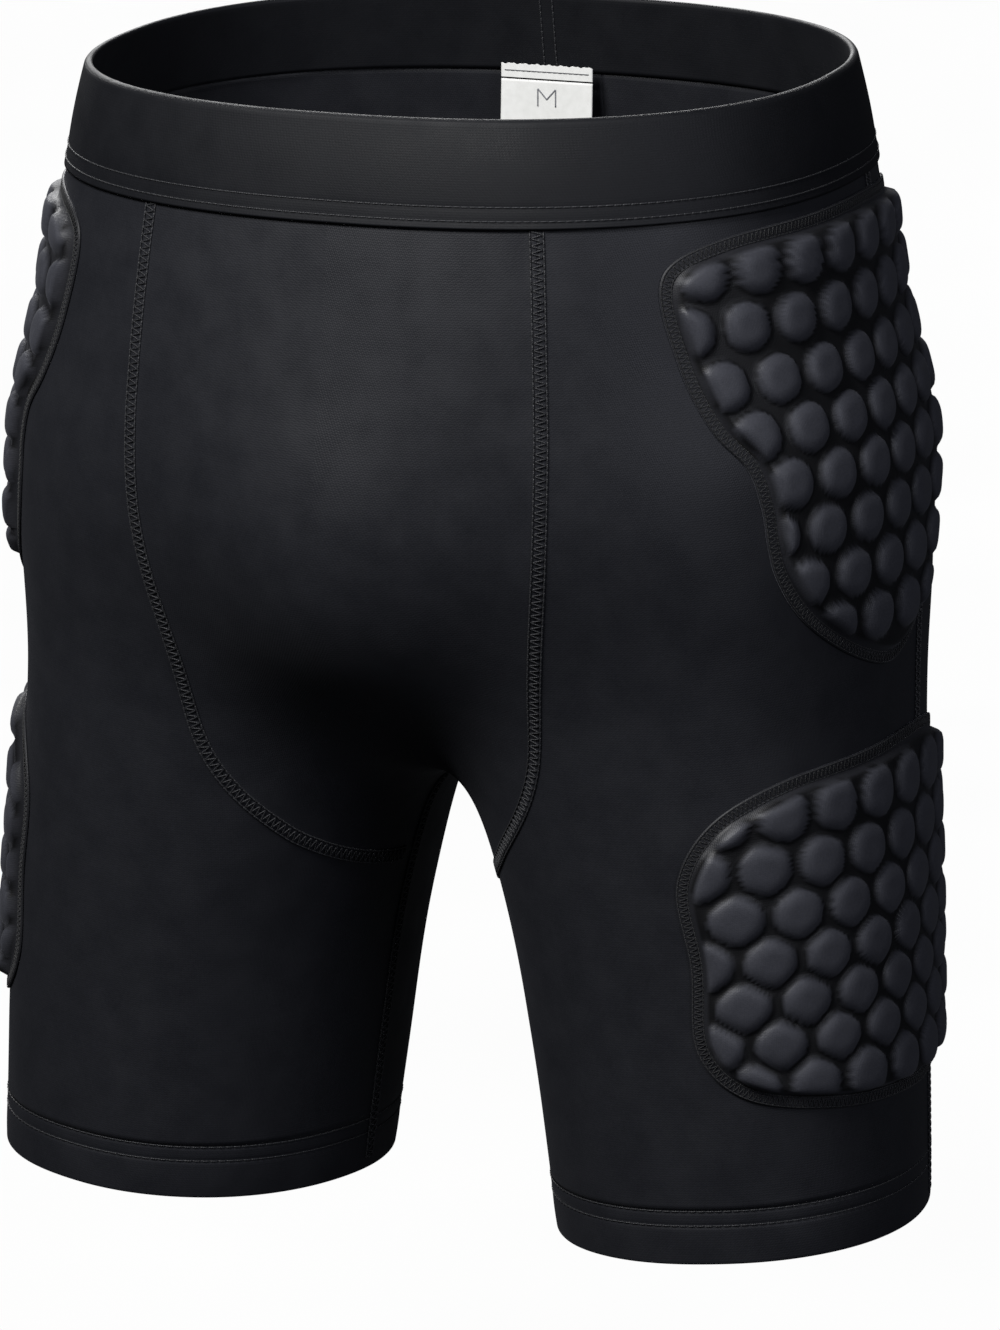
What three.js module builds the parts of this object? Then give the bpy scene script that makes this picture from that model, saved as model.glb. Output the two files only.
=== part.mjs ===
// Padded impact shorts: a stretch base layer with a wide elastic waistband, flatlock seams,
// hex-domed foam pads over both hips and thighs, and one over the tailbone.
//
// Millimetres. +Z up, the wearer faces -Y and the wearer's left is +X. The origin is the centre
// of the waist opening, so the shorts hang below it. The left half is drawn and mirrored.
import * as THREE from "three";
import { mergeGeometries, mergeVertices } from "three/addons/utils/BufferGeometryUtils.js";

// ---------------------------------------------------------------- driving dimensions

const LENGTH = 423; // waist opening to the middle of a hem, size M
const WAIST_TILT = THREE.MathUtils.degToRad(4); // the front of the waist sits lower
const WAIST_TILT_FADES = 150; // depth at which the tilt has gone
const HEM_TILT = THREE.MathUtils.degToRad(4); // each hem is square to its splayed leg
const HEM_TILT_STARTS = 60; // depth at which the sections start to turn with the legs
const BAND_DEPTH = 38;
const HEM_DEPTH = 22;
const FABRIC = 0.9;
const SEAM_GAP = 0.5; // half the clearance between two panels' edges
const PANEL_CLEARANCE = 0.4; // between a panel and the waistband or hem
const SEAM_HALF_WIDTH = 2.8; // flatlock thread, 5.6 mm wide
const THREAD = 0.45; // thickness of a flatlock strip

// Hips and waist as a stack of oval sections: depth, half width, front depth, back depth.
const TORSO = {
  depth: [0, 38, 90, 150, 200, 260],
  halfWidth: [141, 149, 154, 157, 161, 162],
  front: [110, 117, 122, 119, 108, 98],
  back: [112, 119, 128, 135, 135, 124],
  squareness: 2.3,
  floorStarts: 150,
  crotch: 255,
};

// One thigh as a stack of ovals round its own axis, turned a little towards the hem.
const LEG = {
  depth: [150, 250, 340, 430],
  axisX: [86, 93, 105, 113],
  axisY: [2, 2, 0, -2],
  halfWidth: [74, 78, 73, 68],
  halfDepth: [92, 92, 84, 78],
  turn: [0, 0, 8, 14],
  squareness: 2.15,
  roundedTop: 60,
};

const FRONT_FULLNESS = { centre: [0, -92, -162], radii: [46, 34, 46] };
const BLEND = 14; // radius by which the volumes flow into each other

// Seam lines.
const FRONT_SEAM_ANGLE = THREE.MathUtils.degToRad(-54.5); // seen from above, from the wearer's left
const SIDE_SEAM_Y = 20;
const ARC_STARTS = 219; // depth where the front seam starts to swing to the inner leg
const ARC_ENDS = 297; // depth where it meets the inseam

// Rows of the panels, from the waistband down: straight, round the crotch, down the leg.
const ROWS = { straight: 6, fork: 8, leg: 5 };
const COLUMNS = { front: 5, leg: 9, back: 9 };
const BAND_SEGMENTS = 44;
const HEM_SEGMENTS = 24;

// Pads. A side pad's outline is in degrees round the body (forward is negative) and depth down.
// The tailbone pad's is in mm across the back and depth down.
const PAD_CLEARANCE = 2.4;
const FLANGE_WIDTH = 7;
const BEVEL_WIDTH = 3.2;
const COVER = 0.8;
const PAD_SECTORS = 26;
const HIP_PAD = {
  centre: [-5, 112],
  outline: [
    [-43, 52], [-33, 46.5], [-12, 42.5], [14, 44], [32, 50], [37, 68], [36, 100],
    [31, 138], [22, 172], [11, 199], [-5, 211], [-22, 205], [-38, 188], [-45, 160],
    [-47, 122], [-47, 84],
  ],
  rise: 4.8,
};
const THIGH_PAD = {
  centre: [-12, 308],
  outline: [
    [-75, 279], [-66, 256], [-50, 245], [-18, 240], [22, 240], [44, 250], [52, 285],
    [52, 330], [42, 362], [14, 371], [-14, 371], [-42, 367], [-64, 358], [-73, 342], [-74, 310],
  ],
  rise: 4.6,
};
const RIGHT_LEG_TURN = 22; // degrees by which the wearer's right leg is turned out
const TAIL_PAD = {
  centre: [0, 118],
  outline: [
    [-46, 70], [0, 62], [46, 70], [54, 92], [44, 130], [22, 170], [0, 180],
    [-22, 170], [-44, 130], [-54, 92],
  ],
  rise: 4.4,
};

const LABEL = {
  width: 38,
  flap: 40,
  anchor: 5, // the edge that is sewn to the waistband
  thickness: 0.7,
  hinge: 0.9, // bare thread between the sewn edge and the flap
  aboveBandEdge: 5.7,
  clearOfBand: 1,
  stitchInset: 1.5,
  stitchHeight: 2, // above the sewn edge's lower side
  stitchThickness: 0.4,
  stitchWidth: 1.4,
};
// The band is joined, and the label sewn in, a little to the wearer's right of the centre back.
const BACK_JOIN_X = -20;

// ---------------------------------------------------------------- the body form

/** Smooth curve through stations, held level past both ends. */
function alongStations(at, values, x) {
  const last = at.length - 1;
  const held = THREE.MathUtils.clamp(x, at[0], at[last]);
  let i = 0;
  while (i < last - 1 && held > at[i + 1]) i += 1;
  const slope = (k) => {
    if (k === 0) return (values[1] - values[0]) / (at[1] - at[0]);
    if (k === last) return (values[last] - values[last - 1]) / (at[last] - at[last - 1]);
    const before = at[k] - at[k - 1];
    const after = at[k + 1] - at[k];
    const up = (values[k + 1] - values[k]) / after;
    const down = (values[k] - values[k - 1]) / before;
    return (before * up + after * down) / (before + after);
  };
  const step = at[i + 1] - at[i];
  const t = (held - at[i]) / step;
  const t2 = t * t;
  const t3 = t2 * t;
  return (
    (2 * t3 - 3 * t2 + 1) * values[i] +
    (t3 - 2 * t2 + t) * step * slope(i) +
    (3 * t2 - 2 * t3) * values[i + 1] +
    (t3 - t2) * step * slope(i + 1)
  );
}

/** Straight interpolation through stations, held level past both ends. */
function between(at, values, x) {
  if (x <= at[0]) return values[0];
  for (let i = 1; i < at.length; i += 1) {
    if (x <= at[i]) {
      return THREE.MathUtils.mapLinear(x, at[i - 1], at[i], values[i - 1], values[i]);
    }
  }
  return values[at.length - 1];
}

/** Size of a superellipse-like distance: 1 on the surface, less inside. */
function superNorm(terms, power) {
  return terms.reduce((sum, term) => sum + Math.abs(term) ** power, 0) ** (1 / power);
}

/** Depth below the waist opening, measured square to it near the top. */
function depthOf(p) {
  const fade = THREE.MathUtils.clamp(1 + p.z / WAIST_TILT_FADES, 0, 1);
  return -(p.z - Math.tan(WAIST_TILT) * p.y * fade);
}

/** Roughly the distance outside the fabric's outer face: negative inside. */
function outside(p) {
  const depth = depthOf(p);
  const halfWidth = alongStations(TORSO.depth, TORSO.halfWidth, depth);
  const front = alongStations(TORSO.depth, TORSO.front, depth);
  const back = alongStations(TORSO.depth, TORSO.back, depth);
  const halfDepth = p.y < 0 ? front : back;
  const floor = Math.max(depth - TORSO.floorStarts, 0) / (TORSO.crotch - TORSO.floorStarts);
  const torso = superNorm([p.x / halfWidth, p.y / halfDepth, floor], TORSO.squareness);
  const gaps = [(torso - 1) * (front + back) / 2];

  const axisX = alongStations(LEG.depth, LEG.axisX, depth);
  const axisY = alongStations(LEG.depth, LEG.axisY, depth);
  const legWidth = alongStations(LEG.depth, LEG.halfWidth, depth);
  const legDepth = alongStations(LEG.depth, LEG.halfDepth, depth);
  const turn = THREE.MathUtils.degToRad(alongStations(LEG.depth, LEG.turn, depth));
  const top = Math.max(LEG.depth[0] - depth, 0) / LEG.roundedTop;
  for (const side of [1, -1]) {
    const dx = p.x - side * axisX;
    const dy = p.y - axisY;
    const across = dx * Math.cos(turn) + side * dy * Math.sin(turn);
    const along = -side * dx * Math.sin(turn) + dy * Math.cos(turn);
    const leg = superNorm([across / legWidth, along / legDepth, top], LEG.squareness);
    gaps.push((leg - 1) * legWidth);
  }

  const { centre, radii } = FRONT_FULLNESS;
  const bulge = Math.hypot(
    (p.x - centre[0]) / radii[0],
    (p.y - centre[1]) / radii[1],
    (p.z - centre[2]) / radii[2],
  );
  gaps.push((bulge - 1) * radii[1]);

  const least = Math.min(...gaps);
  const sum = gaps.reduce((total, gap) => total + Math.exp((least - gap) / BLEND), 0);
  return least - BLEND * Math.log(sum);
}

function gradient(p) {
  const step = 0.05;
  const g = new THREE.Vector3();
  for (const axis of ["x", "y", "z"]) {
    const ahead = p.clone();
    const behind = p.clone();
    ahead[axis] += step;
    behind[axis] -= step;
    g[axis] = (outside(ahead) - outside(behind)) / (2 * step);
  }
  return g;
}

/** First point of the form on a straight line from inside it. */
function shootOut(from, direction, reach = 260) {
  const strides = 65;
  let near = 0;
  let far = reach;
  for (let i = 1; i <= strides; i += 1) {
    const distance = (reach * i) / strides;
    if (outside(from.clone().addScaledVector(direction, distance)) > 0) {
      far = distance;
      break;
    }
    near = distance;
  }
  for (let i = 0; i < 26; i += 1) {
    const middle = (near + far) / 2;
    if (outside(from.clone().addScaledVector(direction, middle)) > 0) far = middle;
    else near = middle;
  }
  return from.clone().addScaledVector(direction, (near + far) / 2);
}

/** Moves a nearby point onto the form. */
function settle(p) {
  const q = p.clone();
  for (let i = 0; i < 8; i += 1) {
    const g = gradient(q);
    q.addScaledVector(g, -outside(q) / g.lengthSq());
  }
  return q;
}

// ---------------------------------------------------------------- places on the form

/** Cutting plane number v (0 at the waist, 1 at the hem): a centre and two directions in it. */
function slice(v) {
  const depth = LENGTH * v;
  const axisX = between([0, 60, 160, 230, LENGTH], [0, 30, 80, 98, 113], depth);
  const pitch = WAIST_TILT * (1 - v);
  const splay = (depth - HEM_TILT_STARTS) / (LENGTH - HEM_TILT_STARTS);
  const roll = HEM_TILT * THREE.MathUtils.clamp(splay, 0, 1);
  const outward = new THREE.Vector3(Math.cos(roll), 0, Math.sin(roll));
  const back = new THREE.Vector3(0, Math.cos(pitch), Math.sin(pitch));
  const normal = outward.clone().cross(back).normalize();
  return { centre: new THREE.Vector3(axisX, 0, -depth), outward, back, normal };
}

function inSlice(cut, angle, distance) {
  return cut.centre
    .clone()
    .addScaledVector(cut.outward, Math.cos(angle) * distance)
    .addScaledVector(cut.back, Math.sin(angle) * distance);
}

/** Slice, angle and distance of a point on the wearer's left half. */
function locate(p) {
  let low = -0.05;
  let high = 1.05;
  const height = (v) => {
    const cut = slice(v);
    return p.clone().sub(cut.centre).dot(cut.normal);
  };
  for (let i = 0; i < 40; i += 1) {
    const middle = (low + high) / 2;
    if (height(middle) < 0) low = middle;
    else high = middle;
  }
  const v = (low + high) / 2;
  const cut = slice(v);
  const arm = p.clone().sub(cut.centre);
  return { v, angle: Math.atan2(arm.dot(cut.back), arm.dot(cut.outward)), distance: arm.length() };
}

function onSlice(v, angle) {
  const cut = slice(v);
  const direction = inSlice(cut, angle, 1).sub(cut.centre);
  return shootOut(cut.centre, direction);
}

/** Angle in a slice at which a measure of the surface point passes through zero. */
function angleWhere(v, low, high, measure) {
  let [a, b] = [low, high];
  const rising = measure(onSlice(v, b)) > measure(onSlice(v, a));
  for (let i = 0; i < 30; i += 1) {
    const middle = (a + b) / 2;
    if (measure(onSlice(v, middle)) > 0 === rising) b = middle;
    else a = middle;
  }
  return (a + b) / 2;
}

const BAND_END = BAND_DEPTH / LENGTH;
const PANEL_START = (BAND_DEPTH + PANEL_CLEARANCE) / LENGTH;
const PANEL_END = (LENGTH - HEM_DEPTH - PANEL_CLEARANCE) / LENGTH;
const HEM_START = (LENGTH - HEM_DEPTH) / LENGTH;
const FORK_END = ROWS.straight + ROWS.fork;
const LAST_ROW = FORK_END + ROWS.leg;

/** Value of row i that runs straight through one station for each stretch of rows. */
function overRows(i, stations) {
  return between([0, ROWS.straight, FORK_END, LAST_ROW], stations, i);
}

/** The middle line of the front (facing -1) or back (+1), from the waistband to the crotch. */
function middleLine(facing, count) {
  const hub = new THREE.Vector3(0, 0, -140);
  const start = onSlice(PANEL_START, angleWhere(PANEL_START, (facing * Math.PI) / 4,
    facing * Math.PI * 0.75, (p) => p.x));
  const first = Math.atan2(start.z - hub.z, facing * start.y);
  const samples = [start];
  const steps = 120;
  for (let i = 1; i <= steps; i += 1) {
    const angle = THREE.MathUtils.lerp(first, -Math.PI / 2, i / steps);
    const direction = new THREE.Vector3(0, facing * Math.cos(angle), Math.sin(angle));
    samples.push(shootOut(hub, direction));
  }
  const line = new THREE.CatmullRomCurve3(samples);
  line.arcLengthDivisions = steps * 2;
  return line.getSpacedPoints(count);
}

/** Inseam point at a slice: the innermost line of the leg. */
const inseamPoint = (v) => onSlice(v, Math.PI);

const CROTCH_ROWS = ROWS.fork - 2; // rows of the fork that come before the crotch point
const CROTCH_ROW = ROWS.straight + CROTCH_ROWS;

/** The middle line, then the inseam, one point for each row. */
function innerLine(facing) {
  const middle = middleLine(facing, CROTCH_ROW);
  const crotch = middle[CROTCH_ROW];
  const crotchV = locate(crotch).v;
  const line = middle.slice();
  for (let i = CROTCH_ROW + 1; i <= LAST_ROW; i += 1) {
    const stations = [crotchV, ARC_ENDS / LENGTH, PANEL_END];
    const v = between([CROTCH_ROW, FORK_END, LAST_ROW], stations, i);
    line.push(inseamPoint(v));
  }
  return line;
}

/** Front seam: straight down at a steady angle, then an arc to the inner leg. */
function frontSeamLine() {
  const line = [];
  const seamAngle = (v) => angleWhere(v, -Math.PI * 0.8, -0.2, (p) =>
    Math.atan2(p.y, p.x) - FRONT_SEAM_ANGLE);
  const arcAngle = seamAngle(ARC_STARTS / LENGTH);
  for (let i = 0; i <= LAST_ROW; i += 1) {
    if (i <= ROWS.straight) {
      const v = overRows(i, [PANEL_START, ARC_STARTS / LENGTH, 1, 1]);
      line.push(onSlice(v, seamAngle(v)));
    } else if (i <= FORK_END) {
      const turn = ((i - ROWS.straight) / ROWS.fork) * (Math.PI / 2);
      const v = THREE.MathUtils.lerp(ARC_STARTS, ARC_ENDS, Math.sin(turn)) / LENGTH;
      const angle = THREE.MathUtils.lerp(arcAngle, -Math.PI, 1 - Math.cos(turn));
      line.push(onSlice(v, angle));
    } else {
      line.push(inseamPoint(overRows(i, [0, 0, ARC_ENDS / LENGTH, PANEL_END])));
    }
  }
  return line;
}

/** Side seam: a steady distance behind the side line. */
function sideSeamLine() {
  const line = [];
  for (let i = 0; i <= LAST_ROW; i += 1) {
    const v = overRows(i, [PANEL_START, 200 / LENGTH, 305 / LENGTH, PANEL_END]);
    line.push(onSlice(v, angleWhere(v, -0.9, 1.2, (p) => p.y - SIDE_SEAM_Y)));
  }
  return line;
}

/** A line on the form moved sideways over it: positive is to the left, looking along it. */
function beside(line, distance) {
  const last = line.length - 1;
  return line.map((p, i) => {
    const along = line[Math.min(i + 1, last)].clone().sub(line[Math.max(i - 1, 0)]).normalize();
    const normal = gradient(p).normalize();
    const across = normal.cross(along).normalize();
    if (i === 0 || i === last) {
      const cut = slice(locate(p).v);
      across.projectOnPlane(cut.normal).normalize();
    }
    return p.clone().addScaledVector(across, distance);
  });
}

// ---------------------------------------------------------------- solids

/**
 * Closed solid from rows of points, each with an inner and an outer place. It may close on
 * itself across the rows, or leave its last column open above a row, to be joined there.
 */
function sheetSolid(grid, closedAcross = false, openAbove = 0) {
  const rows = grid.length;
  const columns = grid[0].length;
  const positions = [];
  const index = [];
  for (const level of ["outer", "inner"]) {
    for (const row of grid) for (const point of row) positions.push(...point[level].toArray());
  }
  const layer = rows * columns;
  const at = (i, j) => i * columns + (j % columns);
  const quad = (a, b, c, d) => index.push(a, b, c, a, c, d);
  const spans = closedAcross ? columns : columns - 1;
  for (let i = 0; i < rows - 1; i += 1) {
    for (let j = 0; j < spans; j += 1) {
      quad(at(i, j), at(i + 1, j), at(i + 1, j + 1), at(i, j + 1));
      quad(layer + at(i, j), layer + at(i, j + 1), layer + at(i + 1, j + 1), layer + at(i + 1, j));
    }
  }
  for (let j = 0; j < spans; j += 1) {
    const end = rows - 1;
    quad(at(0, j), at(0, j + 1), layer + at(0, j + 1), layer + at(0, j));
    quad(at(end, j), layer + at(end, j), layer + at(end, j + 1), at(end, j + 1));
  }
  if (!closedAcross) {
    for (let i = 0; i < rows - 1; i += 1) {
      const end = columns - 1;
      quad(at(i, 0), layer + at(i, 0), layer + at(i + 1, 0), at(i + 1, 0));
      if (i < openAbove) continue;
      quad(at(i, end), at(i + 1, end), layer + at(i + 1, end), layer + at(i, end));
    }
  }
  const geometry = new THREE.BufferGeometry();
  geometry.setAttribute("position", new THREE.Float32BufferAttribute(positions, 3));
  geometry.setIndex(index);
  return facingOut(geometry);
}

/** Signed volume of a closed geometry. */
function volumeOf(geometry) {
  const p = geometry.getAttribute("position");
  const index = geometry.index.array;
  const [a, b, c] = [new THREE.Vector3(), new THREE.Vector3(), new THREE.Vector3()];
  let sum = 0;
  for (let i = 0; i < index.length; i += 3) {
    a.fromBufferAttribute(p, index[i]);
    b.fromBufferAttribute(p, index[i + 1]);
    c.fromBufferAttribute(p, index[i + 2]);
    sum += a.dot(b.cross(c)) / 6;
  }
  return sum;
}

/** Turns every face over if the solid is inside out. */
function facingOut(geometry) {
  if (volumeOf(geometry) < 0) {
    const index = Array.from(geometry.index.array);
    for (let i = 0; i < index.length; i += 3) {
      [index[i + 1], index[i + 2]] = [index[i + 2], index[i + 1]];
    }
    geometry.setIndex(index);
  }
  geometry.computeVertexNormals();
  return geometry;
}

/** A point's places at two heights above the form; planeNormal keeps both in one plane. */
function raised(p, low, high, planeNormal = null) {
  const normal = gradient(p);
  if (planeNormal) normal.projectOnPlane(planeNormal);
  normal.normalize();
  return {
    inner: p.clone().addScaledVector(normal, low),
    outer: p.clone().addScaledVector(normal, high),
  };
}

/** Share of the way across a panel for a column: the two outer columns are narrow. */
function columnShare(j, columns) {
  const narrow = 0.03;
  if (j === 0 || j === columns) return j / columns;
  return THREE.MathUtils.mapLinear(j, 1, columns - 1, narrow, 1 - narrow);
}

/** Panel cloth between two lines of the form that have one point for each row. */
function panelGrid(lineA, lineB, columns) {
  const last = lineA.length - 1;
  return lineA.map((a, i) => {
    const from = locate(a);
    const to = locate(lineB[i]);
    if (from.angle > Math.PI / 2 && to.angle < 0) from.angle -= 2 * Math.PI;
    if (to.angle < -Math.PI / 2 && from.angle > 0) to.angle += 2 * Math.PI;
    const row = [];
    for (let j = 0; j <= columns; j += 1) {
      const t = columnShare(j, columns);
      const v = THREE.MathUtils.lerp(from.v, to.v, t);
      const angle = THREE.MathUtils.lerp(from.angle, to.angle, t);
      const distance = THREE.MathUtils.lerp(from.distance, to.distance, t);
      let p = inSlice(slice(v), angle, distance);
      const inner = j > 0 && j < columns;
      if (inner && (i === 0 || i === last)) p = onSlice(v, angle);
      else if (inner) p = settle(p);
      row.push(raised(p, -FABRIC, 0));
    }
    return row;
  });
}

/** Flat thread strip along a seam line, standing clear of the panels by low. */
function seamSolid(line, low) {
  const left = beside(line, -SEAM_HALF_WIDTH);
  const right = beside(line, SEAM_HALF_WIDTH);
  const high = low + THREAD;
  return sheetSolid(line.map((p, i) => [left[i], p, right[i]].map((q) => raised(q, low, high))));
}

/** Ring round one slice family: the section is a closed outline of places { v, height }. */
function ringSolid(place, segments, section) {
  const positions = [];
  const index = [];
  for (const { v, height } of section) {
    for (let j = 0; j < segments; j += 1) {
      const { p, normal } = place(v, (2 * Math.PI * j) / segments);
      positions.push(...raised(p, 0, height, normal).outer.toArray());
    }
  }
  const at = (i, j) => (i % section.length) * segments + (j % segments);
  for (let i = 0; i < section.length; i += 1) {
    for (let j = 0; j < segments; j += 1) {
      index.push(at(i, j), at(i + 1, j), at(i + 1, j + 1));
      index.push(at(i, j), at(i + 1, j + 1), at(i, j + 1));
    }
  }
  const geometry = new THREE.BufferGeometry();
  geometry.setAttribute("position", new THREE.Float32BufferAttribute(positions, 3));
  geometry.setIndex(index);
  return facingOut(geometry);
}

/** Four-cornered ring section between two slices and two heights. */
function strip(vTop, vBottom, low, high) {
  return [
    { v: vTop, height: low },
    { v: vTop, height: high },
    { v: vBottom, height: high },
    { v: vBottom, height: low },
  ];
}

/** Waist ring places: round the middle of the body, or straight behind another x. */
function waistPlace(v, angle, x = 0) {
  const cut = slice(v);
  cut.centre.x = x;
  const direction = inSlice(cut, angle, 1).sub(cut.centre);
  return { p: shootOut(cut.centre, direction), normal: cut.normal };
}

/** Hem ring places: round one leg. */
function hemPlace(v, angle) {
  return { p: onSlice(v, angle), normal: slice(v).normal };
}

/** The other half of a geometry, mirrored across the middle plane. */
function mirrored(geometry) {
  return facingOut(geometry.clone().scale(-1, 1, 1));
}

// ---------------------------------------------------------------- pads

/** Point of the form at a place in a pad's own coordinates. */
function padPlace(pad, [across, depth]) {
  if (pad !== TAIL_PAD) return onSlice(depth / LENGTH, THREE.MathUtils.degToRad(across));
  return shootOut(new THREE.Vector3(across, 0, -depth), new THREE.Vector3(0, 1, 0));
}

function padOutline(pad) {
  const points = pad.outline.map(([across, depth]) => new THREE.Vector3(across, depth, 0));
  const curve = new THREE.CatmullRomCurve3(points, true, "centripetal");
  return curve.getSpacedPoints(PAD_SECTORS).slice(0, PAD_SECTORS).map((p) => [p.x, p.y]);
}

/** Outline point moved towards the pad's centre by an inset in mm, or to a fraction of the way. */
function padPoint(pad, edge, inset) {
  const at = (keep) => padPlace(pad, [
    THREE.MathUtils.lerp(pad.centre[0], edge[0], keep),
    THREE.MathUtils.lerp(pad.centre[1], edge[1], keep),
  ]);
  if (inset.fraction !== undefined) return at(inset.fraction);
  const length = at(1).distanceTo(at(0.8)) / 0.2;
  return at(1 - inset.mm / length);
}

/** Closed form over a pad's outline; each ring has an inset and a low and a high height. */
function padSolid(pad, rings) {
  const outline = padOutline(pad);
  const grid = rings.map(({ inset, low, high }) =>
    outline.map((edge) => raised(padPoint(pad, edge, inset), low, high)));
  const closed = rings[rings.length - 1].inset.fraction === 0;
  if (!closed) return sheetSolid(grid, true);
  return crownedSolid(grid.slice(0, -1), grid[grid.length - 1][0]);
}

/** As sheetSolid, with the last ring closed by a single middle point. */
function crownedSolid(grid, middle) {
  const count = grid[0].length;
  const positions = [];
  const index = [];
  for (const level of ["outer", "inner"]) {
    for (const row of grid) for (const point of row) positions.push(...point[level].toArray());
  }
  positions.push(...middle.outer.toArray(), ...middle.inner.toArray());
  const layer = grid.length * count;
  const [top, bottom] = [2 * layer, 2 * layer + 1];
  const at = (i, j) => i * count + (j % count);
  const quad = (a, b, c, d) => index.push(a, b, c, a, c, d);
  const end = grid.length - 1;
  for (let j = 0; j < count; j += 1) {
    for (let i = 0; i < end; i += 1) {
      quad(at(i, j), at(i + 1, j), at(i + 1, j + 1), at(i, j + 1));
      quad(layer + at(i, j), layer + at(i, j + 1), layer + at(i + 1, j + 1), layer + at(i + 1, j));
    }
    quad(at(0, j), at(0, j + 1), layer + at(0, j + 1), layer + at(0, j));
    index.push(at(end, j), top, at(end, j + 1));
    index.push(layer + at(end, j), layer + at(end, j + 1), bottom);
  }
  const geometry = new THREE.BufferGeometry();
  geometry.setAttribute("position", new THREE.Float32BufferAttribute(positions, 3));
  geometry.setIndex(index);
  return facingOut(geometry);
}

const mm = (distance) => ({ mm: distance });
const share = (fraction) => ({ fraction });
const GAP = 0.3; // clearance between touching pieces
const TOP_RINGS = [0.66, 0.34, 0]; // places of the top's rings, as shares of the way to the edge
const SHOULDER = { coverDrop: 0.6, coverExtra: 0.4, foamDrop: 1.2, foamFoot: 1.2 };

/** Moulded cover: a flat sewing flange, a bevel and a raised top. */
function padCover(pad) {
  const base = PAD_CLEARANCE;
  const top = base + pad.rise;
  const shoulder = FLANGE_WIDTH + BEVEL_WIDTH;
  return padSolid(pad, [
    { inset: mm(0), low: base, high: base + COVER },
    { inset: mm(FLANGE_WIDTH), low: base, high: base + COVER },
    {
      inset: mm(shoulder),
      low: top - COVER - SHOULDER.coverDrop - SHOULDER.coverExtra,
      high: top - SHOULDER.coverDrop,
    },
    ...TOP_RINGS.map((ring) => ({ inset: share(ring), low: top - COVER, high: top })),
  ]);
}

const FOAM_GAP = 0.6;
const FOAM_INSET = 2;

/** Foam slab under the cover. */
function padFoam(pad) {
  const base = PAD_CLEARANCE;
  const top = base + pad.rise - COVER - FOAM_GAP;
  const foot = FLANGE_WIDTH + FOAM_INSET;
  const shoulder = FLANGE_WIDTH + BEVEL_WIDTH + FOAM_INSET;
  return padSolid(pad, [
    { inset: mm(foot), low: base, high: base + SHOULDER.foamFoot },
    { inset: mm(shoulder), low: base, high: top - SHOULDER.foamDrop },
    ...TOP_RINGS.map((ring) => ({ inset: share(ring), low: base, high: top })),
  ]);
}

/** Overlock stitching that holds the flange down. */
const OVERLOCK = { starts: 1, ends: 5.6, thickness: 0.5 };
function padStitching(pad) {
  const low = PAD_CLEARANCE + COVER + GAP;
  const high = low + OVERLOCK.thickness;
  return padSolid(pad, [
    { inset: mm(OVERLOCK.starts), low, high },
    { inset: mm(OVERLOCK.ends), low, high },
  ]);
}

// ---------------------------------------------------------------- finishes

const finish = (color, roughness) =>
  new THREE.MeshStandardMaterial({ color, roughness, metalness: 0 });
const jersey = finish(0x303136, 0.62);
const bandKnit = finish(0x2b2c30, 0.7);
const padFabric = finish(0x35363c, 0.55);
const foamRubber = finish(0x1d1d20, 0.9);
const thread = finish(0x222327, 0.5);
const elasticWeb = finish(0x141416, 0.8);
const labelSatin = finish(0xf0f0ee, 0.6);

const shorts = new THREE.Group();

function add(name, geometry, material) {
  const mesh = new THREE.Mesh(geometry, material);
  mesh.name = name;
  shorts.add(mesh);
}

/** Adds a left piece and its mirrored right one. */
function addPair(name, geometry, material) {
  add(`left_${name}`, geometry, material);
  add(`right_${name}`, mirrored(geometry), material);
}

// ---------------------------------------------------------------- panels and seams

const frontInner = innerLine(-1);
const backInner = innerLine(1);
const frontSeam = frontSeamLine();
const sideSeam = sideSeamLine();

/** Inner edge of the front: the middle line as it is, then clear of the inseam. */
function frontInnerEdge() {
  const moved = beside(frontInner, SEAM_GAP);
  return frontInner.map((p, i) => {
    if (i < CROTCH_ROW) return p;
    if (i === CROTCH_ROW) return settle(p.clone().setY(-SEAM_GAP));
    return moved[i].y < 0 ? moved[i] : beside(frontInner, -SEAM_GAP)[i];
  });
}

/** Keeps whichever sideways shift of a line lies on the wanted side of it. */
function shifted(line, distance, wanted) {
  const plus = beside(line, distance);
  const minus = beside(line, -distance);
  const middle = Math.floor(line.length / 2);
  return wanted(plus[middle], line[middle]) ? plus : minus;
}

/** The rows of a line down to just short of where the front runs out to a point. */
function shortOfTip(line) {
  const reach = 0.7; // share of the last row's length that the cloth covers
  const rows = line.slice(0, FORK_END);
  rows.push(settle(line[FORK_END - 1].clone().lerp(line[FORK_END], reach)));
  return rows;
}

/** Both halves of the front, sewn from one piece of cloth: they share the middle line. */
function frontPanel() {
  const inner = shortOfTip(frontInnerEdge());
  const outer = shortOfTip(shifted(frontSeam, SEAM_GAP, (q, p) => q.x < p.x));
  const grid = panelGrid(outer, inner, COLUMNS.front);
  for (const row of grid.slice(0, CROTCH_ROW + 1)) {
    const middle = row[row.length - 1];
    middle.inner.x = 0;
    middle.outer.x = 0;
  }
  const half = sheetSolid(grid, false, CROTCH_ROW);
  const whole = mergeGeometries([half, mirrored(half)]);
  whole.deleteAttribute("normal");
  return facingOut(mergeVertices(whole, 1e-3));
}

add("front_panel", frontPanel(), jersey);

const outwards = (q, p) => q.x > p.x;
const forwards = (q, p) => q.y < p.y;
const backwards = (q, p) => q.y > p.y;

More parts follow.
